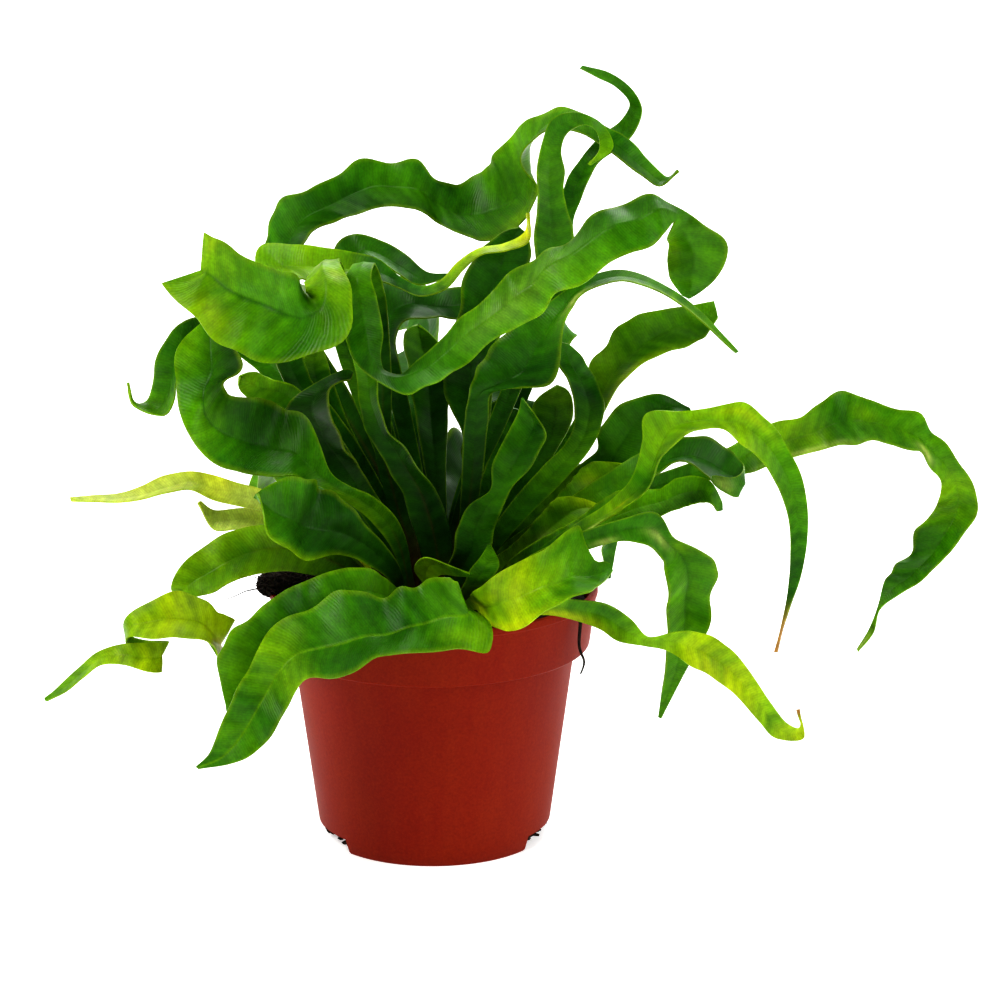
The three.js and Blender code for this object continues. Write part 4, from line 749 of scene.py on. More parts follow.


# Each frond's colour stops and marks, by share of its length. They hold the leaves' own colours and also painted light
# and shade: darker stops and DEEP, DARK and MID marks paint the shade in folds, hollows, ripples and the crowded core,
# and lighter stops and PALE, LIGHT and LIME marks paint light and sheen on lit parts and lighten blades that lie in
# shade.
LOOKS: dict[str, BladeLook] = {
    "frond_front_yellow": look(
        (0, Leaf.LIGHT), (0.22, Leaf.LIGHT), (0.38, Leaf.LIME), (0.5, Leaf.LIGHT), (0.62, Leaf.LIME), (0.72, Leaf.LIGHT),
        (0.84, Leaf.FRESH), (1, Leaf.MID), dark_rib=0.05, tilt=0.12, end=BladeEnd.SQUARE, shade=0.05,
        waists=(Waist(0.87, 2.6, 1.2, right=False), Waist(0.95, 2.8, 0.5, right=False)),
        marks=(
            Mark(0.6, 0.9, 12, 3, Leaf.YELLOW), Mark(0.55, -0.4, 12, 5, Leaf.LIME, 0.5),
            Mark(0.8, -0.7, 6, 3, Leaf.MID, 0.6),
        ),
    ),
    "frond_front_left_long": look(
        (0, Leaf.FRESH), (0.3, Leaf.FRESH), (0.42, Leaf.MID), (0.64, Leaf.MID), (0.73, Leaf.LIGHT), (0.82, Leaf.MID),
        (0.91, Leaf.FRESH), (1, Leaf.MID), pale_rib=0.5, billow=1.3,
        marks=(
            Mark(0.33, -0.6, 9, 5, Leaf.LIGHT), Mark(0.58, -0.6, 14, 5, Leaf.DARK, 0.7),
            Mark(0.52, 0.5, 12, 5, Leaf.DARK, 0.4), Mark(0.7, 0.5, 7, 5, Leaf.LIGHT, 0.5),
        ),
    ),
    "frond_right_low_tail": look(
        (0, Leaf.FRESH), (0.3, Leaf.LIGHT), (0.42, Leaf.FRESH), (0.56, Leaf.LIGHT), (0.66, Leaf.LIME), (0.76, Leaf.LIME),
        (0.86, Leaf.LIGHT), (1, Leaf.YELLOW), dry_tip=3.0, tilt=-0.15,
        marks=(Mark(0.35, 0.8, 14, 3, Leaf.YELLOW), Mark(0.42, -0.5, 9, 3, Leaf.MID)),
    ),
    "frond_front_left_under": look((0, Leaf.MID), (0.3, Leaf.FRESH), (0.65, Leaf.MID), (0.8, Leaf.FRESH), (1, Leaf.FRESH)),
    # Partly painted light: lighter stops than the blade's own colour, for a blade that lies in shade.
    "frond_front_small_left": look((0, Leaf.LIGHT), (0.6, Leaf.LIGHT), (1, Leaf.MID)),
    "frond_front_small_right": look((0, Leaf.LIME), (0.5, Leaf.LIGHT), (0.7, Leaf.FRESH), (1, Leaf.FRESH)),
    "frond_right_hanging_long": look(
        (0, Leaf.MID), (0.22, Leaf.MID), (0.31, Leaf.LIGHT), (0.4, Leaf.MID), (0.52, Leaf.LIGHT), (0.62, Leaf.LIGHT),
        (0.69, Leaf.FRESH), (0.8, Leaf.MID), (0.9, Leaf.DARK), (1, Leaf.MID), dry_tip=14.0, tilt=-0.15,
        marks=(
            Mark(0.33, 0.2, 4, 3, Leaf.YELLOW, 0.6), Mark(0.25, 0.8, 8, 2, Leaf.PALE, 0.7),
            Mark(0.62, -0.6, 10, 3, Leaf.LIME, 0.7),
        ),
    ),
    "frond_right_hanging_short": look(
        (0, Leaf.FRESH), (0.2, Leaf.LIGHT), (0.32, Leaf.MID), (0.55, Leaf.MID), (0.7, Leaf.FRESH), (1, Leaf.FRESH),
        waists=(Waist(0.59, 6, 0.45, right=False), Waist(0.655, 3, 1.15, right=False)),
        marks=(
            Mark(0.43, 0.7, 5, 3, Leaf.PALE, 0.5), Mark(0.62, 0.0, 40, 1.2, Leaf.DARK, 0.5),
            Mark(0.56, 0.2, 5, 3, Leaf.PALE, 0.45), Mark(0.61, -0.5, 3, 6, Leaf.LIGHT, 0.6),
        ),
    ),
    "frond_right_cup": look(
        (0, Leaf.MID), (0.33, Leaf.LIGHT), (0.46, Leaf.FRESH), (0.6, Leaf.MID), (0.8, Leaf.DARK), (1, Leaf.MID),
        marks=(Mark(0.97, 0.0, 4, 9, Leaf.PALE, 0.35),),
    ),
    "frond_right_ruffled": look(
        (0, Leaf.LIGHT), (0.2, Leaf.LIGHT), (0.3, Leaf.MID), (0.5, Leaf.FRESH), (0.7, Leaf.FRESH), (1, Leaf.FRESH),
        ruffle=2.2, ruffle_length=9.0, crinkle=1.3, side_folds=0.3,
        marks=(Mark(0.5, 0.4, 3, 3, Leaf.LIME, 0.6), Mark(0.62, -0.4, 3, 3, Leaf.LIGHT, 0.7), Mark(0.36, 0.3, 3, 3, Leaf.LIGHT, 0.7)),
    ),
    "frond_right_mid_low": look(
        (0, Leaf.FRESH), (0.42, Leaf.LIGHT), (0.62, Leaf.FRESH), (0.82, Leaf.LIGHT), (1, Leaf.LIME), crinkle=1.2,
        ruffle=2.4, ruffle_length=12.0, shade=0.1,
        marks=(
            Mark(0.6, 0.4, 4, 4, Leaf.PALE, 0.4), Mark(0.75, -0.4, 5, 4, Leaf.MID, 0.7),
            Mark(0.48, -0.3, 5, 4, Leaf.DARK, 0.5),
        ),
    ),
    # Painted shade: the DEEP and DARK stops and the DEEP marks darken the hollow of the cupped blade and lay dark bands
    # across it.
    "frond_left_cup": look(
        (0, Leaf.DEEP), (0.4, Leaf.DARK), (0.7, Leaf.DARK), (0.86, Leaf.MID), (1, Leaf.FRESH),
        marks=(
            Mark(0.6, 0.2, 20, 6, Leaf.DEEP, 0.6), Mark(0.6, -0.95, 34, 1.6, Leaf.LIGHT, 0.8),
            Mark(0.74, 0.3, 3, 8, Leaf.DEEP, 0.5), Mark(0.66, -0.2, 2.5, 8, Leaf.DEEP, 0.5),
        ),
        side_folds=0.3,
    ),
    "frond_left_big_arch": look(
        (0, Leaf.DARK), (0.1, Leaf.MID), (0.3, Leaf.FRESH), (0.42, Leaf.MID), (0.54, Leaf.MID), (0.62, Leaf.DARK),
        (0.7, Leaf.MID), (0.77, Leaf.FRESH), (0.86, Leaf.MID), (0.93, Leaf.FRESH), (1, Leaf.FRESH), tilt=-0.15,
        billow=1.3, side_folds=0.24,
        marks=(
            # Painted shade: the DEEP mark at 0.9 darkens the inner half of the curled tip.
            Mark(0.9, 0.85, 26, 13, Leaf.DEEP, 0.97), Mark(0.84, 0.0, 26, 0.9, Leaf.DARK, 0.7),
            Mark(0.28, -0.9, 16, 2.5, Leaf.LIGHT, 0.8), Mark(0.5, -0.3, 16, 7, Leaf.DARK, 0.5),
            Mark(0.36, -0.5, 13, 7, Leaf.LIGHT, 0.6), Mark(0.93, -0.7, 9, 4, Leaf.LIGHT, 0.5),
        ),
    ),
    "frond_left_yellow_thin": look(
        (0, Leaf.LIME), (0.4, Leaf.YELLOW), (1, Leaf.YELLOW), ruffle=0.5, shade=0.0,
        marks=(Mark(0.47, 0.0, 14, 8, Leaf.PALE, 0.7), Mark(0.85, 0.0, 30, 8, Leaf.PALE, 0.7)),
    ),
    # Partly painted light: the PALE stops and mark lighten this yellowing blade, which lies in shade.
    "frond_left_yellow_short": look(
        (0, Leaf.YELLOW), (0.5, Leaf.PALE), (1, Leaf.YELLOW), shade=0.0, marks=(Mark(0.8, 0.0, 20, 9, Leaf.PALE),),
    ),
    "frond_left_low_spiral": look(
        (0, Leaf.DARK), (0.12, Leaf.FRESH), (0.26, Leaf.LIGHT), (0.5, Leaf.LIGHT), (0.62, Leaf.LIME), (0.7, Leaf.LIGHT),
        (0.82, Leaf.LIME), (0.91, Leaf.LIGHT), (1, Leaf.FRESH), waists=(Waist(0.505, 4, 1.15), Waist(0.545, 2.5, 0.85)),
        # Painted shade: the MID mark at 0.745 darkens a fold; painted highlight: the PALE mark at 0.5 lights the bend.
        marks=(Mark(0.3, -0.6, 8, 4, Leaf.MID, 0.4), Mark(0.745, 0.0, 4, 8, Leaf.MID, 0.6), Mark(0.5, 0.0, 6, 2, Leaf.PALE, 0.8)),
    ),
    "frond_yellow_curl": look(
        (0, Leaf.MID), (0.45, Leaf.FRESH), (0.55, Leaf.LIGHT), (0.65, Leaf.LIGHT), (0.71, Leaf.DARK), (0.78, Leaf.MID),
        (0.85, Leaf.LIGHT), (0.93, Leaf.LIME), (1, Leaf.YELLOW), ruffle=0.5, tilt=-0.3,
        waists=(Waist(0.6, 11, 1.7, left=False),), marks=(Mark(0.86, -0.8, 9, 2, Leaf.YELLOW, 0.8),),
    ),
    "frond_upright_top_left": look(
        (0, Leaf.DARK), (0.3, Leaf.DARK), (0.42, Leaf.FRESH), (0.6, Leaf.FRESH), (0.72, Leaf.LIGHT), (0.8, Leaf.MID),
        (0.9, Leaf.FRESH), (1, Leaf.LIGHT), pleats=((0.71, 0.05, 0.4),), end=BladeEnd.NOTCHED,
        side_folds=0.26, billow=1.2, waists=(Waist(0.81, 7, 1.25, right=False),),
        marks=(
            Mark(0.93, 0.7, 9, 6, Leaf.LIME, 0.5), Mark(0.82, -0.15, 12, 4, Leaf.MID, 0.7),
            Mark(0.66, -0.3, 6, 5, Leaf.PALE, 0.5), Mark(0.88, -0.3, 14, 3, Leaf.MID, 0.6),
            Mark(0.98, -0.8, 3, 4, Leaf.LIME, 0.6), Mark(0.88, 0.0, 24, 0.9, Leaf.DARK, 0.8),
            # Painted highlight: the narrow PALE and LIGHT bands at 0.68 to 0.75 light the pleats.
            Mark(0.72, 0.5, 2.5, 6, Leaf.PALE, 0.35), Mark(0.68, 0.5, 2, 6, Leaf.PALE, 0.4),
            Mark(0.75, 0.5, 2, 6, Leaf.LIGHT, 0.5),
        ),
    ),
    "frond_big_diagonal": look(
        (0, Leaf.DARK), (0.3, Leaf.DARK), (0.4, Leaf.FRESH), (0.48, Leaf.MID), (0.6, Leaf.MID), (0.7, Leaf.FRESH),
        (0.76, Leaf.FRESH), (0.83, Leaf.MID), (0.92, Leaf.FRESH), (1, Leaf.MID), tilt=-0.2, billow=1.6,
        billow_length=19.0, side_folds=0.24,
        marks=(
            # Painted sheen: the PALE mark at 0.7; painted shade: the DARK mark at 0.88; painted light: the LIGHT mark
            # at 0.94.
            Mark(0.7, -0.2, 20, 8, Leaf.PALE, 0.1), Mark(0.88, 0.5, 16, 6, Leaf.DARK, 0.7),
            Mark(0.94, -0.8, 9, 3, Leaf.LIGHT, 0.8), Mark(0.55, 0.5, 12, 4, Leaf.DARK, 0.5),
        ),
    ),
    "frond_right_round_leaf": look(
        (0, Leaf.DARK), (0.42, Leaf.FRESH), (0.62, Leaf.LIGHT), (0.76, Leaf.FRESH), (0.9, Leaf.FRESH), (1, Leaf.FRESH),
        marks=(Mark(0.66, 0.9, 20, 2.5, Leaf.LIME),), end=BladeEnd.SQUARE, shade=0.2,
    ),
    "frond_right_far_arch": look(
        (0, Leaf.DEEP), (0.3, Leaf.MID), (0.4, Leaf.FRESH), (0.46, Leaf.LIGHT), (0.53, Leaf.MID), (0.6, Leaf.FRESH),
        (0.68, Leaf.FRESH), (0.73, Leaf.LIGHT), (0.8, Leaf.MID), (0.92, Leaf.MID), (1, Leaf.LIGHT), tilt=-0.1,
        waists=(Waist(0.655, 5, 0.6),), ruffle=1.6, side_folds=0.26, crinkle=0.9, billow=1.4, billow_length=15.0,
        marks=(
            Mark(0.5, 0.5, 5, 5, Leaf.LIGHT, 0.8), Mark(0.57, -0.3, 5, 4, Leaf.LIGHT, 0.6),
            Mark(0.43, 0.0, 2.2, 6, Leaf.MID, 0.7), Mark(0.54, 0.0, 2.5, 7, Leaf.DARK, 0.6),
            Mark(0.48, 0.9, 16, 1.6, Leaf.PALE, 0.5), Mark(0.66, 0.6, 4, 3, Leaf.PALE, 0.7),
            Mark(0.99, 0.0, 5, 6, Leaf.PALE, 0.4),
        ),
    ),
    "frond_left_mid_tip": look((0, Leaf.DEEP), (0.75, Leaf.DARK), (0.88, Leaf.MID), (1, Leaf.LIGHT), crinkle=0.9),
    "frond_right_inner_light": look(
        (0, Leaf.DARK), (0.55, Leaf.MID), (0.85, Leaf.FRESH), (1, Leaf.LIGHT), crinkle=0.8,
        waists=(Waist(0.9, 9, 1.25),),
    ),
    "frond_right_mid": look(
        (0, Leaf.MID), (0.5, Leaf.FRESH), (0.8, Leaf.FRESH), (1, Leaf.LIGHT), crinkle=1.2, ruffle=2.4,
        ruffle_length=12.0, marks=(Mark(0.62, 0.2, 5, 4, Leaf.DARK, 0.6), Mark(0.8, -0.4, 4, 4, Leaf.LIME, 0.6)),
    ),
    "frond_right_dark_leaf": look((0, Leaf.DARK), (0.3, Leaf.FRESH), (0.5, Leaf.LIGHT), (0.6, Leaf.MID), (0.8, Leaf.MID), (1, Leaf.MID), dark_rib=0.1),
    "frond_back_arch": look(
        (0, Leaf.DEEP), (0.25, Leaf.DARK), (0.36, Leaf.MID), (0.66, Leaf.MID), (0.76, Leaf.FRESH), (0.84, Leaf.FRESH),
        (0.92, Leaf.MID), (1, Leaf.FRESH), ruffle=2.0, side_folds=0.24, tilt=-0.3, waists=(Waist(0.24, 24, 1.45),),
        marks=(
            Mark(0.72, 0.8, 8, 3, Leaf.LIGHT, 0.8), Mark(0.62, 0.0, 2.5, 8, Leaf.DARK, 0.6),
            Mark(0.68, -0.2, 2, 8, Leaf.DARK, 0.6), Mark(0.83, -0.8, 8, 2.5, Leaf.LIGHT, 0.8),
        ),
    ),
    "frond_upper_left_dark": look((0, Leaf.DARK), (0.36, Leaf.DARK), (0.5, Leaf.FRESH), (0.62, Leaf.MID), (1, Leaf.DARK), crinkle=0.9),
    "frond_left_mid_fold": look((0, Leaf.DARK), (0.7, Leaf.DARK), (0.85, Leaf.FRESH), (1, Leaf.LIGHT), crinkle=0.9, ruffle=2.4, ruffle_length=14.0),
    "frond_right_inner": look((0, Leaf.DARK), (0.4, Leaf.MID), (0.5, Leaf.FRESH), (0.7, Leaf.FRESH), (0.8, Leaf.DARK), (1, Leaf.MID), crinkle=0.9, tilt=0.2),
    "frond_center_back_upright": look((0, Leaf.DEEP), (0.6, Leaf.DARK), (0.8, Leaf.MID), (1, Leaf.FRESH), crinkle=0.9),
    "frond_right_arc_thin": look(
        (0, Leaf.DEEP), (0.5, Leaf.DARK), (0.6, Leaf.MID), (0.7, Leaf.DARK), (0.8, Leaf.FRESH),
        (1, Leaf.FRESH), marks=(Mark(0.64, 0.7, 7, 4, Leaf.PALE, 0.6), Mark(0.86, 0.8, 20, 2, Leaf.PALE, 0.4)),
    ),
    "frond_top_center": look((0, Leaf.DEEP), (0.3, Leaf.DARK), (0.6, Leaf.MID), (0.75, Leaf.FRESH), (0.84, Leaf.MID), (0.93, Leaf.FRESH), (1, Leaf.LIGHT)),
    # Painted shade: the DEEP stops darken this blade for the shade in the core of the plant.
    "frond_center_hood": look(
        (0, Leaf.DARK), (0.4, Leaf.DARK), (0.6, Leaf.DEEP), (1, Leaf.DEEP), tilt=-0.25, waists=(Waist(0.85, 14, 1.4),),
    ),
    "frond_left_back_dark": look((0, Leaf.DARK), (0.5, Leaf.MID), (0.8, Leaf.MID), (0.9, Leaf.FRESH), (1, Leaf.LIGHT)),
    # Painted shade: DEEP stops for the shade in the core of the plant.
    "frond_rear_center_right": look((0, Leaf.DEEP), (0.6, Leaf.DEEP), (1, Leaf.DARK)),
}

# Looks by slot for the other fronds; their DEEP and DARK bases are partly painted shade for the crowded core.
SLOT_LOOKS: dict[str, BladeLook] = {
    "frond_light": look((0, Leaf.DARK), (0.3, Leaf.MID), (0.6, Leaf.FRESH), (1, Leaf.FRESH)),
    "frond_mid": look((0, Leaf.DEEP), (0.3, Leaf.DARK), (0.6, Leaf.MID), (1, Leaf.MID)),
    "frond_dark": look((0, Leaf.DEEP), (0.4, Leaf.DARK), (1, Leaf.DARK), dark_rib=0.1),
    "frond_yellow": look((0, Leaf.LIME), (1, Leaf.YELLOW)),
}


@dataclass
class Foliage:
    """All fronds of the plant."""

    above: LeafFinish = LeafFinish("leaf_upper")
    below: LeafFinish = LeafFinish("leaf_underside", gloss=0.5, underside=True)

    def build(self) -> None:
        """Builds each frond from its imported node."""
        above, below = self.above.material(), self.below.material()
        for part in frame["record"]["subparts"]:
            name, slot = part["node"], part["material_slot"]
            if name.startswith("frond_"):
                Frond(name, slot, LOOKS.get(name, SLOT_LOOKS[slot])).build(above, below)


@dataclass
class Pot:
    """The nursery pot, turned from its profile and cut at its foot."""

    rim_radius: float = 60.6 * MM
    height: float = 95.0 * MM
    collar_height: float = 22.0 * MM
    collar_foot_radius: float = 57.8 * MM
    shoulder_radius: float = 52.3 * MM
    base_radius: float = 42.6 * MM
    wall: float = 1.2 * MM
    floor_height: float = 5.0 * MM
    foot_width: float = 2.4 * MM
    centre_foot: float = 10.0 * MM
    notch_headings: tuple[float, ...] = (-160.0, -14.0, 92.0)
    notch_degrees: float = 49.0
    notch_top: float = 0.89
    notch_height: float = 5.4 * MM
    sides: int = 144
    finish: PlasticFinish = PlasticFinish()

    def profile(self) -> list[tuple[float, float]]:
        """The pot's section as (radius, height), from the centre foot round to the inside floor."""
        shoulder = self.height - self.collar_height
        fillet, lip = 1.5 * MM, 0.8 * MM
        inner = self.rim_radius - 2 * MM - self.wall
        return [
            (self.centre_foot, 0),
            (self.centre_foot + 2 * MM, self.floor_height - self.wall),
            (self.base_radius - self.foot_width - 1.5 * MM, self.floor_height - self.wall),
            (self.base_radius - self.foot_width, 0),
            (self.base_radius - 0.6 * MM, 0),
            (self.base_radius + 0.05 * MM, 0.8 * MM),
            (self.base_radius + 0.6 * MM, 5 * MM),
            (self.shoulder_radius - 0.5 * MM, shoulder - 4 * MM),
            (self.shoulder_radius, shoulder - 0.6 * MM),
            (self.shoulder_radius + 0.6 * MM, shoulder),
            (self.collar_foot_radius - fillet, shoulder),
            (self.collar_foot_radius - 0.4 * fillet, shoulder + 0.15 * fillet),
            (self.collar_foot_radius - 0.1 * fillet, shoulder + 0.45 * fillet),
            (self.collar_foot_radius, shoulder + fillet),
            (self.rim_radius - 0.5 * MM, self.height - 3.2 * MM),
            (self.rim_radius, self.height - 2.6 * MM),
            (self.rim_radius, self.height - lip),
            (self.rim_radius - 0.25 * lip, self.height - 0.25 * lip),
            (self.rim_radius - lip, self.height),
            (self.rim_radius - lip - 0.8 * MM, self.height),
            (self.rim_radius - lip - 1.2 * MM, self.height - 0.4 * MM),
            (inner, self.height - 3 * MM),
            (self.collar_foot_radius - self.wall, shoulder + 2 * self.wall),
            (self.shoulder_radius - self.wall, shoulder + self.wall),
            (self.base_radius + 0.7 * MM - self.wall, self.floor_height),
            (self.centre_foot + 2.6 * MM, self.floor_height),
            (self.centre_foot + 0.6 * MM, self.wall),
        ]

    def shell(self) -> bpy.types.Object:
        """Extrudes a disc's edge round the profile, as a potter's wheel would."""
        points = self.profile()
        radius, height = points[0]
        deselect()
        bpy.ops.mesh.primitive_circle_add(
            vertices=self.sides, radius=radius, fill_type="NGON", location=(0, 0, height)
        )
        piece = bpy.context.object
        piece.name = piece.data.name = "pot_shell"
        bpy.ops.object.mode_set(mode="EDIT")
        bpy.ops.mesh.select_all(action="SELECT")
        bpy.ops.mesh.select_mode(type="EDGE")
        bpy.ops.mesh.region_to_loop()
        for (r0, z0), (r1, z1) in zip(points, points[1:]):
            bpy.ops.mesh.extrude_edges_move(TRANSFORM_OT_translate={"value": (0, 0, z1 - z0)})
            scale = r1 / r0
            bpy.ops.transform.resize(value=(scale, scale, 1), center_override=(0, 0, z1))
        bpy.ops.mesh.edge_face_add()
        bpy.ops.mesh.select_all(action="SELECT")
        bpy.ops.mesh.normals_make_consistent(inside=False)
        bpy.ops.object.mode_set(mode="OBJECT")
        return piece

    def cut(self, piece: bpy.types.Object, cutter: bpy.types.Object) -> None:
        """Cuts a shape out of a piece and removes the shape."""
        knife = piece.modifiers.new("cut", "BOOLEAN")
        knife.operation = "DIFFERENCE"
        knife.solver = "EXACT"
        knife.object = cutter
        apply_modifiers(piece)
        bpy.data.objects.remove(cutter)

    def notch(self, heading: float) -> bpy.types.Object:
        """A wedge of the foot ring, at a heading."""
        deselect()
        inner, outer = self.base_radius - self.foot_width - 3.5 * MM, self.base_radius + 4 * MM
        bpy.ops.mesh.primitive_plane_add(size=1.0)
        cutter = bpy.context.object
        steps = 14
        ring = []
        for radius, order in ((outer, range(steps + 1)), (inner, range(steps, -1, -1))):
            for i in order:
                way = math.radians(heading + self.notch_degrees * (i / steps - 0.5))
                ring.append((radius * math.cos(way), radius * math.sin(way), -1 * MM))
        cutter.data.clear_geometry()
        cutter.data.from_pydata(ring, [], [list(range(len(ring)))])
        activate(cutter)
        bpy.ops.object.mode_set(mode="EDIT")
        bpy.ops.mesh.select_all(action="SELECT")
        bpy.ops.mesh.extrude_region_move(TRANSFORM_OT_translate={"value": (0, 0, self.notch_height + 1 * MM)})
        way, narrowed = math.radians(heading), self.notch_top
        centre = (self.base_radius * math.cos(way), self.base_radius * math.sin(way), self.notch_height)
        bpy.ops.transform.resize(value=(narrowed, narrowed, 1), center_override=centre)
        bpy.ops.mesh.select_all(action="SELECT")
        bpy.ops.mesh.normals_make_consistent(inside=False)
        bpy.ops.object.mode_set(mode="OBJECT")
        return cutter

    def drain(self, i: int) -> bpy.types.Object:
        """A plug the size of a drain hole."""
        way = math.radians(60 * i + 30)
        circle, depth = 26 * MM, 6 * MM
        deselect()
        bpy.ops.mesh.primitive_cylinder_add(
            vertices=24, radius=3.2 * MM, depth=depth,
            location=(circle * math.cos(way), circle * math.sin(way), self.floor_height),
        )
        return bpy.context.object

    def build(self) -> None:
        """Builds and dresses the pot."""
        piece = self.shell()
        for heading in self.notch_headings:
            self.cut(piece, self.notch(heading))
        for i in range(6):
            self.cut(piece, self.drain(i))
        piece.data.materials.clear()
        piece.data.materials.append(self.finish.material())
        shade(piece, 32)
        settle(piece, ["pot"])


@dataclass
class Strand:
    """One root: its points, its thickness at the start and how much of it is left at the tip."""

    points: list[Vector]
    radius: float
    tip: float = 0.3


def strands_mesh(name: str, strands: Sequence[Strand], sides: int = 2) -> bpy.types.Object:
    """Makes one mesh of many strands.

    Args:
        name: the piece's name.
        strands: the strands.
        sides: half the number of faces round a strand, less one.

    Returns:
        The mesh.
    """
    deselect()
    bpy.ops.curve.primitive_nurbs_path_add()
    piece = bpy.context.object
    piece.name = piece.data.name = name
    curve = piece.data
    curve.splines.clear()
    curve.dimensions = "3D"
    curve.bevel_depth = 1.0
    curve.bevel_resolution = sides - 1
    curve.use_fill_caps = True
    curve.resolution_u = 3
    for strand in strands:
        line = curve.splines.new("NURBS")
        line.points.add(len(strand.points) - 1)
        line.order_u = 3
        line.use_endpoint_u = True
        for i, (point, place) in enumerate(zip(line.points, strand.points)):
            share = i / (len(strand.points) - 1)
            point.co = (*place, 1.0)
            point.radius = strand.radius * (1 - (1 - strand.tip) * share)
    activate(piece)
    bpy.ops.object.convert(target="MESH")
    return bpy.context.object


@dataclass
class Earth:
    """The peat, the crown, the root mat and the hanging root."""

    peat: EarthFinish = EarthFinish("peat", (0.010, 0.006, 0.004), (0.055, 0.032, 0.017), 420.0, 0.0008)
    scales: EarthFinish = EarthFinish("crown_scales", (0.018, 0.010, 0.005), (0.10, 0.055, 0.022), 500.0, 0.0004)
    fibre: EarthFinish = EarthFinish("root_fibre", (0.008, 0.0045, 0.003), (0.050, 0.024, 0.013), 600.0, 0.0003)
    soil_radius: float = 55.9 * MM
    soil_height: float = 88.6 * MM
    mound: float = 1.6 * MM
    crown_radius: float = 26.0 * MM
    crown_top: float = 96.3 * MM

    def soil(self) -> None:
        """Builds the peat: a crumbly disc with a skirt, and loose crumbs on it."""
        deselect()
        rings = 46
        bpy.ops.mesh.primitive_circle_add(vertices=150, radius=self.soil_radius, fill_type="NOTHING")
        piece = bpy.context.object
        piece.name = piece.data.name = "peat_fill"
        bpy.ops.object.mode_set(mode="EDIT")
        bpy.ops.mesh.select_all(action="SELECT")
        for i in range(rings):
            scale = (rings - i - 1 + 0.15) / (rings - i + 0.15)
            bpy.ops.mesh.extrude_edges_move(TRANSFORM_OT_translate={"value": (0, 0, 0)})
            bpy.ops.transform.resize(value=(scale, scale, 1), center_override=(0, 0, 0))
        bpy.ops.mesh.merge(type="CENTER")
        bpy.ops.object.mode_set(mode="OBJECT")
        for v in piece.data.vertices:
            r = math.hypot(v.co.x, v.co.y) / self.soil_radius
            p = Vector((v.co.x, v.co.y, 0)) * 1000
            rough = 1.5 * noise.noise(p / 7) + 0.9 * noise.noise(p / 2.6) + 0.5 * noise.noise(p / 1.1)
            lift = self.mound * (1 - r * r) + rough * MM * (1 - 0.6 * float(smooth(0.9, 1.0, r)))
            v.co.z = self.soil_height + lift
        activate(piece)
        bpy.ops.object.mode_set(mode="EDIT")
        bpy.ops.mesh.select_all(action="SELECT")
        bpy.ops.mesh.region_to_loop()
        bpy.ops.mesh.extrude_edges_move(TRANSFORM_OT_translate={"value": (0, 0, -12 * MM)})
        bpy.ops.transform.resize(value=(0.985, 0.985, 1), center_override=(0, 0, 0))
        bpy.ops.mesh.edge_face_add()
        bpy.ops.mesh.select_all(action="SELECT")
        bpy.ops.mesh.normals_make_consistent(inside=False)
        bpy.ops.object.mode_set(mode="OBJECT")
        material = self.peat.material()
        piece.data.materials.append(material)
        shade(piece, 80)
        settle(piece, ["soil"])
        self.crumbs(material)

    def crumbs(self, material: bpy.types.Material) -> None:
        """Strews peat crumbs over the soil and leaves some caught in the openings of the pot's foot, where their dark
        also stands in for the shade under the pot.
        """
        rng = random.Random(11)
        places = []
        for _ in range(230):
            r = (self.soil_radius - 3 * MM) * math.sqrt(rng.uniform(0.2, 1))
            way = rng.uniform(0, 2 * math.pi)
            height = self.soil_height + self.mound * (1 - (r / self.soil_radius) ** 2) + 0.6 * MM
            places.append(Vector((r * math.cos(way), r * math.sin(way), height)))
        self.strew("peat_crumbs", places, material, rng)
        # Dark crumbs in the foot's openings: partly peat caught there, partly painted shade under the pot.
        caught = []
        for heading in Pot.notch_headings:
            for _ in range(120):
                r = rng.uniform(36.6, 41.4) * MM
                way = math.radians(heading + rng.uniform(-22, 22))
                caught.append(Vector((r * math.cos(way), r * math.sin(way), rng.uniform(2.6, 5.8) * MM)))
        self.strew("notch_peat_and_shade", caught, material, rng)

    def strew(self, name: str, places: Sequence[Vector], material: bpy.types.Material, rng: random.Random) -> None:
        """Puts a crumb of peat or bark at each place, as one piece.

        Args:
            name: the piece's name.
            places: the crumbs' middles.
            material: their finish.
            rng: what their sizes and turns are drawn from.
        """
        deselect()
        bpy.ops.mesh.primitive_ico_sphere_add(subdivisions=1, radius=1.0)
        seed = bpy.context.object
        copies = []
        for place in places:
            copy = seed.copy()
            copy.data = seed.data.copy()
            bpy.context.collection.objects.link(copy)
            size = rng.uniform(0.5, 1.7) * MM
            flat = rng.uniform(0.35, 0.9)
            for v in copy.data.vertices:
                v.co *= rng.uniform(0.75, 1.2)
                v.co.z *= flat
                v.co.x *= rng.uniform(0.9, 1.3)
            copy.location = place
            copy.rotation_euler = (rng.uniform(-0.5, 0.5), rng.uniform(-0.5, 0.5), rng.uniform(0, 6.28))
            copy.scale = (size, size, size)
            copies.append(copy)
        bpy.data.objects.remove(seed)
        deselect()
        for copy in copies:
            copy.select_set(True)
        bpy.context.view_layer.objects.active = copies[0]
        bpy.ops.object.join()
        piece = bpy.context.object
        piece.name = piece.data.name = name
        piece.data.materials.clear()
        piece.data.materials.append(material)
        shade(piece, 30)
        settle(piece, [])

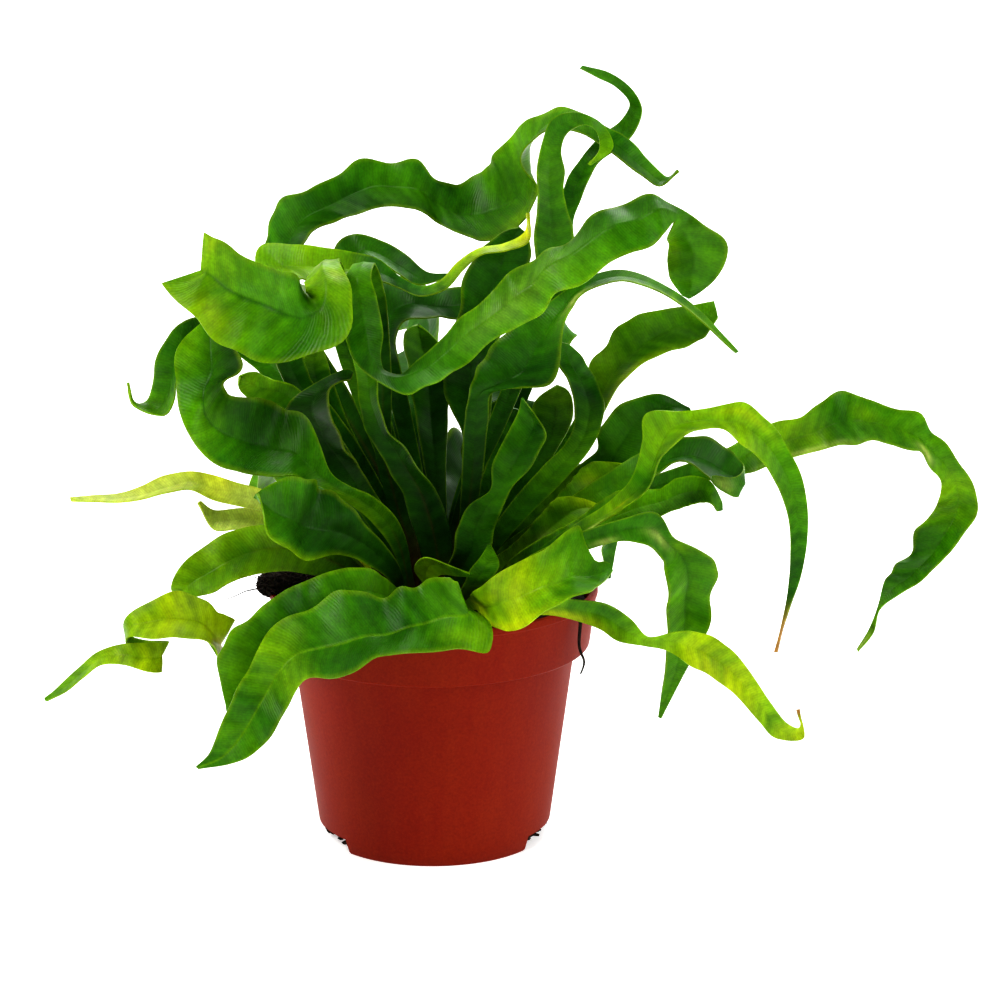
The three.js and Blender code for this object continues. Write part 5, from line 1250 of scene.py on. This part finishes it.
    def crown(self) -> None:
        """Builds the crown: a scaly dome with old stem stubs and chaffy scales."""
        deselect()
        bpy.ops.mesh.primitive_uv_sphere_add(segments=72, ring_count=36, radius=1.0)
        piece = bpy.context.object
        piece.name = piece.data.name = "crown_dome"
        base = self.soil_height - 3 * MM
        for v in piece.data.vertices:
            z = max(v.co.z, -0.2)
            flat = Vector((v.co.x, v.co.y)).length
            p = Vector(v.co) * 26
            bumpy = 1.3 * noise.noise(p / 3.4) + 0.8 * noise.noise(p / 1.3)
            lift = (self.crown_top - base) * z * (1 - 0.16 * math.sin(5 * math.atan2(v.co.y, v.co.x)) * flat)
            v.co = Vector((v.co.x * self.crown_radius, v.co.y * self.crown_radius, base + lift))
            v.co += Vector((v.co.x, v.co.y, 12 * MM)).normalized() * bumpy * MM
        material = self.scales.material()
        piece.data.materials.append(material)
        shade(piece, 80)
        settle(piece, ["crown"])
        self.chaff(material)

    def chaff(self, material: bpy.types.Material) -> None:
        """Adds the chaffy brown scales that stand between the stems, as one piece."""
        rng = random.Random(5)
        strands = []
        for _ in range(420):
            r = self.crown_radius * math.sqrt(rng.uniform(0.02, 1.05))
            way = rng.uniform(0, 2 * math.pi)
            foot = Vector((r * math.cos(way), r * math.sin(way), self.crown_top - 8 * MM * (r / self.crown_radius) ** 2))
            lean = Vector((math.cos(way), math.sin(way), 0)) * rng.uniform(0.2, 1.1) * r / self.crown_radius
            lean += Vector((rng.uniform(-0.5, 0.5), rng.uniform(-0.5, 0.5), 1.0))
            tip = foot + lean.normalized() * rng.uniform(3, 8) * MM
            middle = foot.lerp(tip, 0.5) + Vector([rng.uniform(-0.8, 0.8) * MM for _ in range(3)])
            strands.append(Strand([foot - Vector((0, 0, 2 * MM)), middle, tip], rng.uniform(0.18, 0.5) * MM, 0.15))
        piece = strands_mesh("crown_chaff", strands)
        piece.data.materials.append(material)
        shade(piece, 60)
        settle(piece, [])

    def root_mat(self) -> None:
        """Builds the black clump of roots over the rim, with its strands and stray hairs."""
        low, high = (Vector(corner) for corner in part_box("root_mat"))
        centre = Vector(((low.x + high.x) / 2, (low.y + high.y) / 2, high.z - 5.6 * MM))
        half = Vector(((high.x - low.x) / 2, (high.y - low.y) / 2, 5.2 * MM))
        deselect()
        bpy.ops.mesh.primitive_ico_sphere_add(subdivisions=5, radius=1.0)
        piece = bpy.context.object
        piece.name = piece.data.name = "root_clump"
        for v in piece.data.vertices:
            p = Vector(v.co) * 5
            rough = 1 + 0.10 * noise.noise(p) + 0.12 * noise.noise(p * 2.7) + 0.06 * noise.noise(p * 6)
            v.co = centre + Vector([v.co[i] * half[i] * 0.95 * rough for i in range(3)])
        material = self.fibre.material()
        piece.data.materials.append(material)
        shade(piece, 80)
        settle(piece, ["root_mat"])
        rng = random.Random(21)
        strands = []
        for _ in range(190):
            start = Vector([rng.gauss(0, 1) for _ in range(3)]).normalized()
            turn = Vector([rng.gauss(0, 1) for _ in range(3)]).normalized()
            points = []
            for k in range(7):
                place = (start + turn * 0.32 * k).normalized() * rng.uniform(0.95, 1.07)
                points.append(centre + Vector([place[i] * half[i] for i in range(3)]))
            strands.append(Strand(points, rng.uniform(0.14, 0.42) * MM, 0.5))
        hair = [(-62, -2, 94), (-65.7, -3, 93.6), (-69.1, -4, 93.2), (-73.1, -4, 91), (-78, -3, 89.2), (-81.7, -2, 88.4)]
        strands.append(Strand([Vector(p) * MM for p in hair], 0.28 * MM, 0.25))
        for _ in range(16):
            way = rng.uniform(2.2, 4.1)
            out = Vector((math.cos(way), math.sin(way), rng.uniform(-0.2, 0.5)))
            foot = centre + Vector([out[i] * half[i] * 0.9 for i in range(3)])
            reach = rng.uniform(2.5, 8) * MM
            points = [foot + out * reach * k / 4 + Vector((0, 0, -0.9 * MM * (k / 3) ** 2)) for k in range(5)]
            strands.append(Strand(points, 0.16 * MM, 0.3))
        strand_piece = strands_mesh("root_strands", strands)
        strand_piece.data.materials.append(material)
        shade(strand_piece, 60)
        settle(strand_piece, [])
        self.hanging_root(material)

    def hanging_root(self, material: bpy.types.Material) -> None:
        """Builds the root that hangs over the collar at the right."""
        route = [
            (43, -20, 82), (46, -23, 91), (49.5, -27.6, 97), (52.8, -31.4, 96.6), (53.6, -32.8, 90.3),
            (52.8, -33, 82.6), (53.4, -33.2, 79), (55, -33.6, 75.9), (54.6, -33.4, 73), (53.6, -33, 70.6),
        ]
        piece = strands_mesh("hanging_root_strand", [Strand([Vector(p) * MM for p in route], 0.95 * MM, 0.3)], 4)
        piece.data.materials.append(material)
        shade(piece, 60)
        settle(piece, ["hanging_root"])

    def build(self) -> None:
        """Builds all that lies in and on the pot."""
        self.soil()
        self.crown()
        self.root_mat()


@dataclass
class Studio:
    """The pale floor, the soft lights and the camera."""

    camera_place: Vector = field(default_factory=lambda: Vector((24.5, -1237.5, 458.3)) * MM)
    camera_pitch: float = 15.0
    lens: float = 126.0
    sensor: float = 36.0
    floor_size: float = 14.0
    sky: float = 0.75

    def floor(self) -> None:
        """Lays the pale floor."""
        deselect()
        bpy.ops.mesh.primitive_plane_add(size=self.floor_size, location=(0, 3.0, 0))
        floor = bpy.context.object
        floor.name = floor.data.name = "studio_floor"
        g = Graph("studio_white")
        tone = g.noise(g.object_place(), 3.0, 2.0)
        g.link(g.mix(g.ramp(tone, 0.3, 0.7, 0.0, 1.0), (0.93, 0.93, 0.93), (0.95, 0.95, 0.95)), g.shader.inputs["Base Color"])
        g.shader.inputs["Roughness"].default_value = 0.9
        g.shader.inputs["Emission Color"].default_value = (1.0, 1.0, 1.0, 1.0)
        g.shader.inputs["Emission Strength"].default_value = 0.35
        floor.data.materials.append(g.material)

    def light(self, name: str, place: Sequence[float], size: float, watts: float, colour: Colour) -> None:
        """Hangs a soft light that points at the plant.

        Args:
            name: the light's name.
            place: where it hangs, in metres.
            size: the length of its sides.
            watts: its power.
            colour: its colour.
        """
        deselect()
        bpy.ops.object.light_add(type="AREA", location=place)
        lamp = bpy.context.object
        lamp.name = lamp.data.name = name
        lamp.data.size = size
        lamp.data.energy = watts
        lamp.data.color = colour
        lamp.rotation_euler = (Vector((0, 0, 0.15)) - Vector(place)).to_track_quat("-Z", "Y").to_euler()

    def world(self) -> None:
        """Lights the room evenly."""
        world = bpy.data.worlds.new("studio")
        bpy.context.scene.world = world
        world.use_nodes = True
        tree = world.node_tree
        back = tree.nodes["Background"]
        back.inputs["Strength"].default_value = self.sky
        way = tree.nodes.new("ShaderNodeTexCoord")
        split = tree.nodes.new("ShaderNodeSeparateXYZ")
        tree.links.new(way.outputs["Generated"], split.inputs[0])
        fade = tree.nodes.new("ShaderNodeMapRange")
        fade.inputs["From Min"].default_value = -0.9
        fade.inputs["From Max"].default_value = 0.5
        fade.inputs["To Min"].default_value = 0.12
        tree.links.new(split.outputs["Y"], fade.inputs["Value"])
        tree.links.new(fade.outputs[0], back.inputs["Color"])

    def camera(self) -> None:
        """Sets the camera at the photograph's angle."""
        bpy.ops.object.camera_add(location=self.camera_place, rotation=(math.radians(90 - self.camera_pitch), 0, 0))
        camera = bpy.context.object
        camera.name = "view"
        camera.data.lens = self.lens
        camera.data.sensor_width = self.sensor
        camera.data.clip_end = 50
        bpy.context.scene.camera = camera

    def tones(self) -> None:
        """Shows the colours as they are, without a film curve."""
        shown = bpy.context.scene.view_settings
        shown.view_transform = "Standard"
        shown.look = "High Contrast"
        shown.exposure = 0.0

    def build(self) -> None:
        """Builds the studio."""
        self.tones()
        self.camera()
        self.floor()
        self.light("key", (-1.1, -1.2, 1.9), 0.9, 34.0, (1.0, 0.985, 0.96))
        self.light("fill", (1.7, -0.8, 1.0), 1.0, 14.0, (1.0, 1.0, 1.0))
        self.light("back", (0.3, 1.4, 1.6), 1.2, 20.0, (1.0, 1.0, 1.0))
        self.world()


def main() -> None:
    """Builds the studio and the plant."""
    logging.basicConfig(level=logging.INFO, format="%(message)s")
    for assembly in (Studio(), Pot(), Earth(), Foliage()):
        assembly.build()


if __name__ == "__main__":
    main()
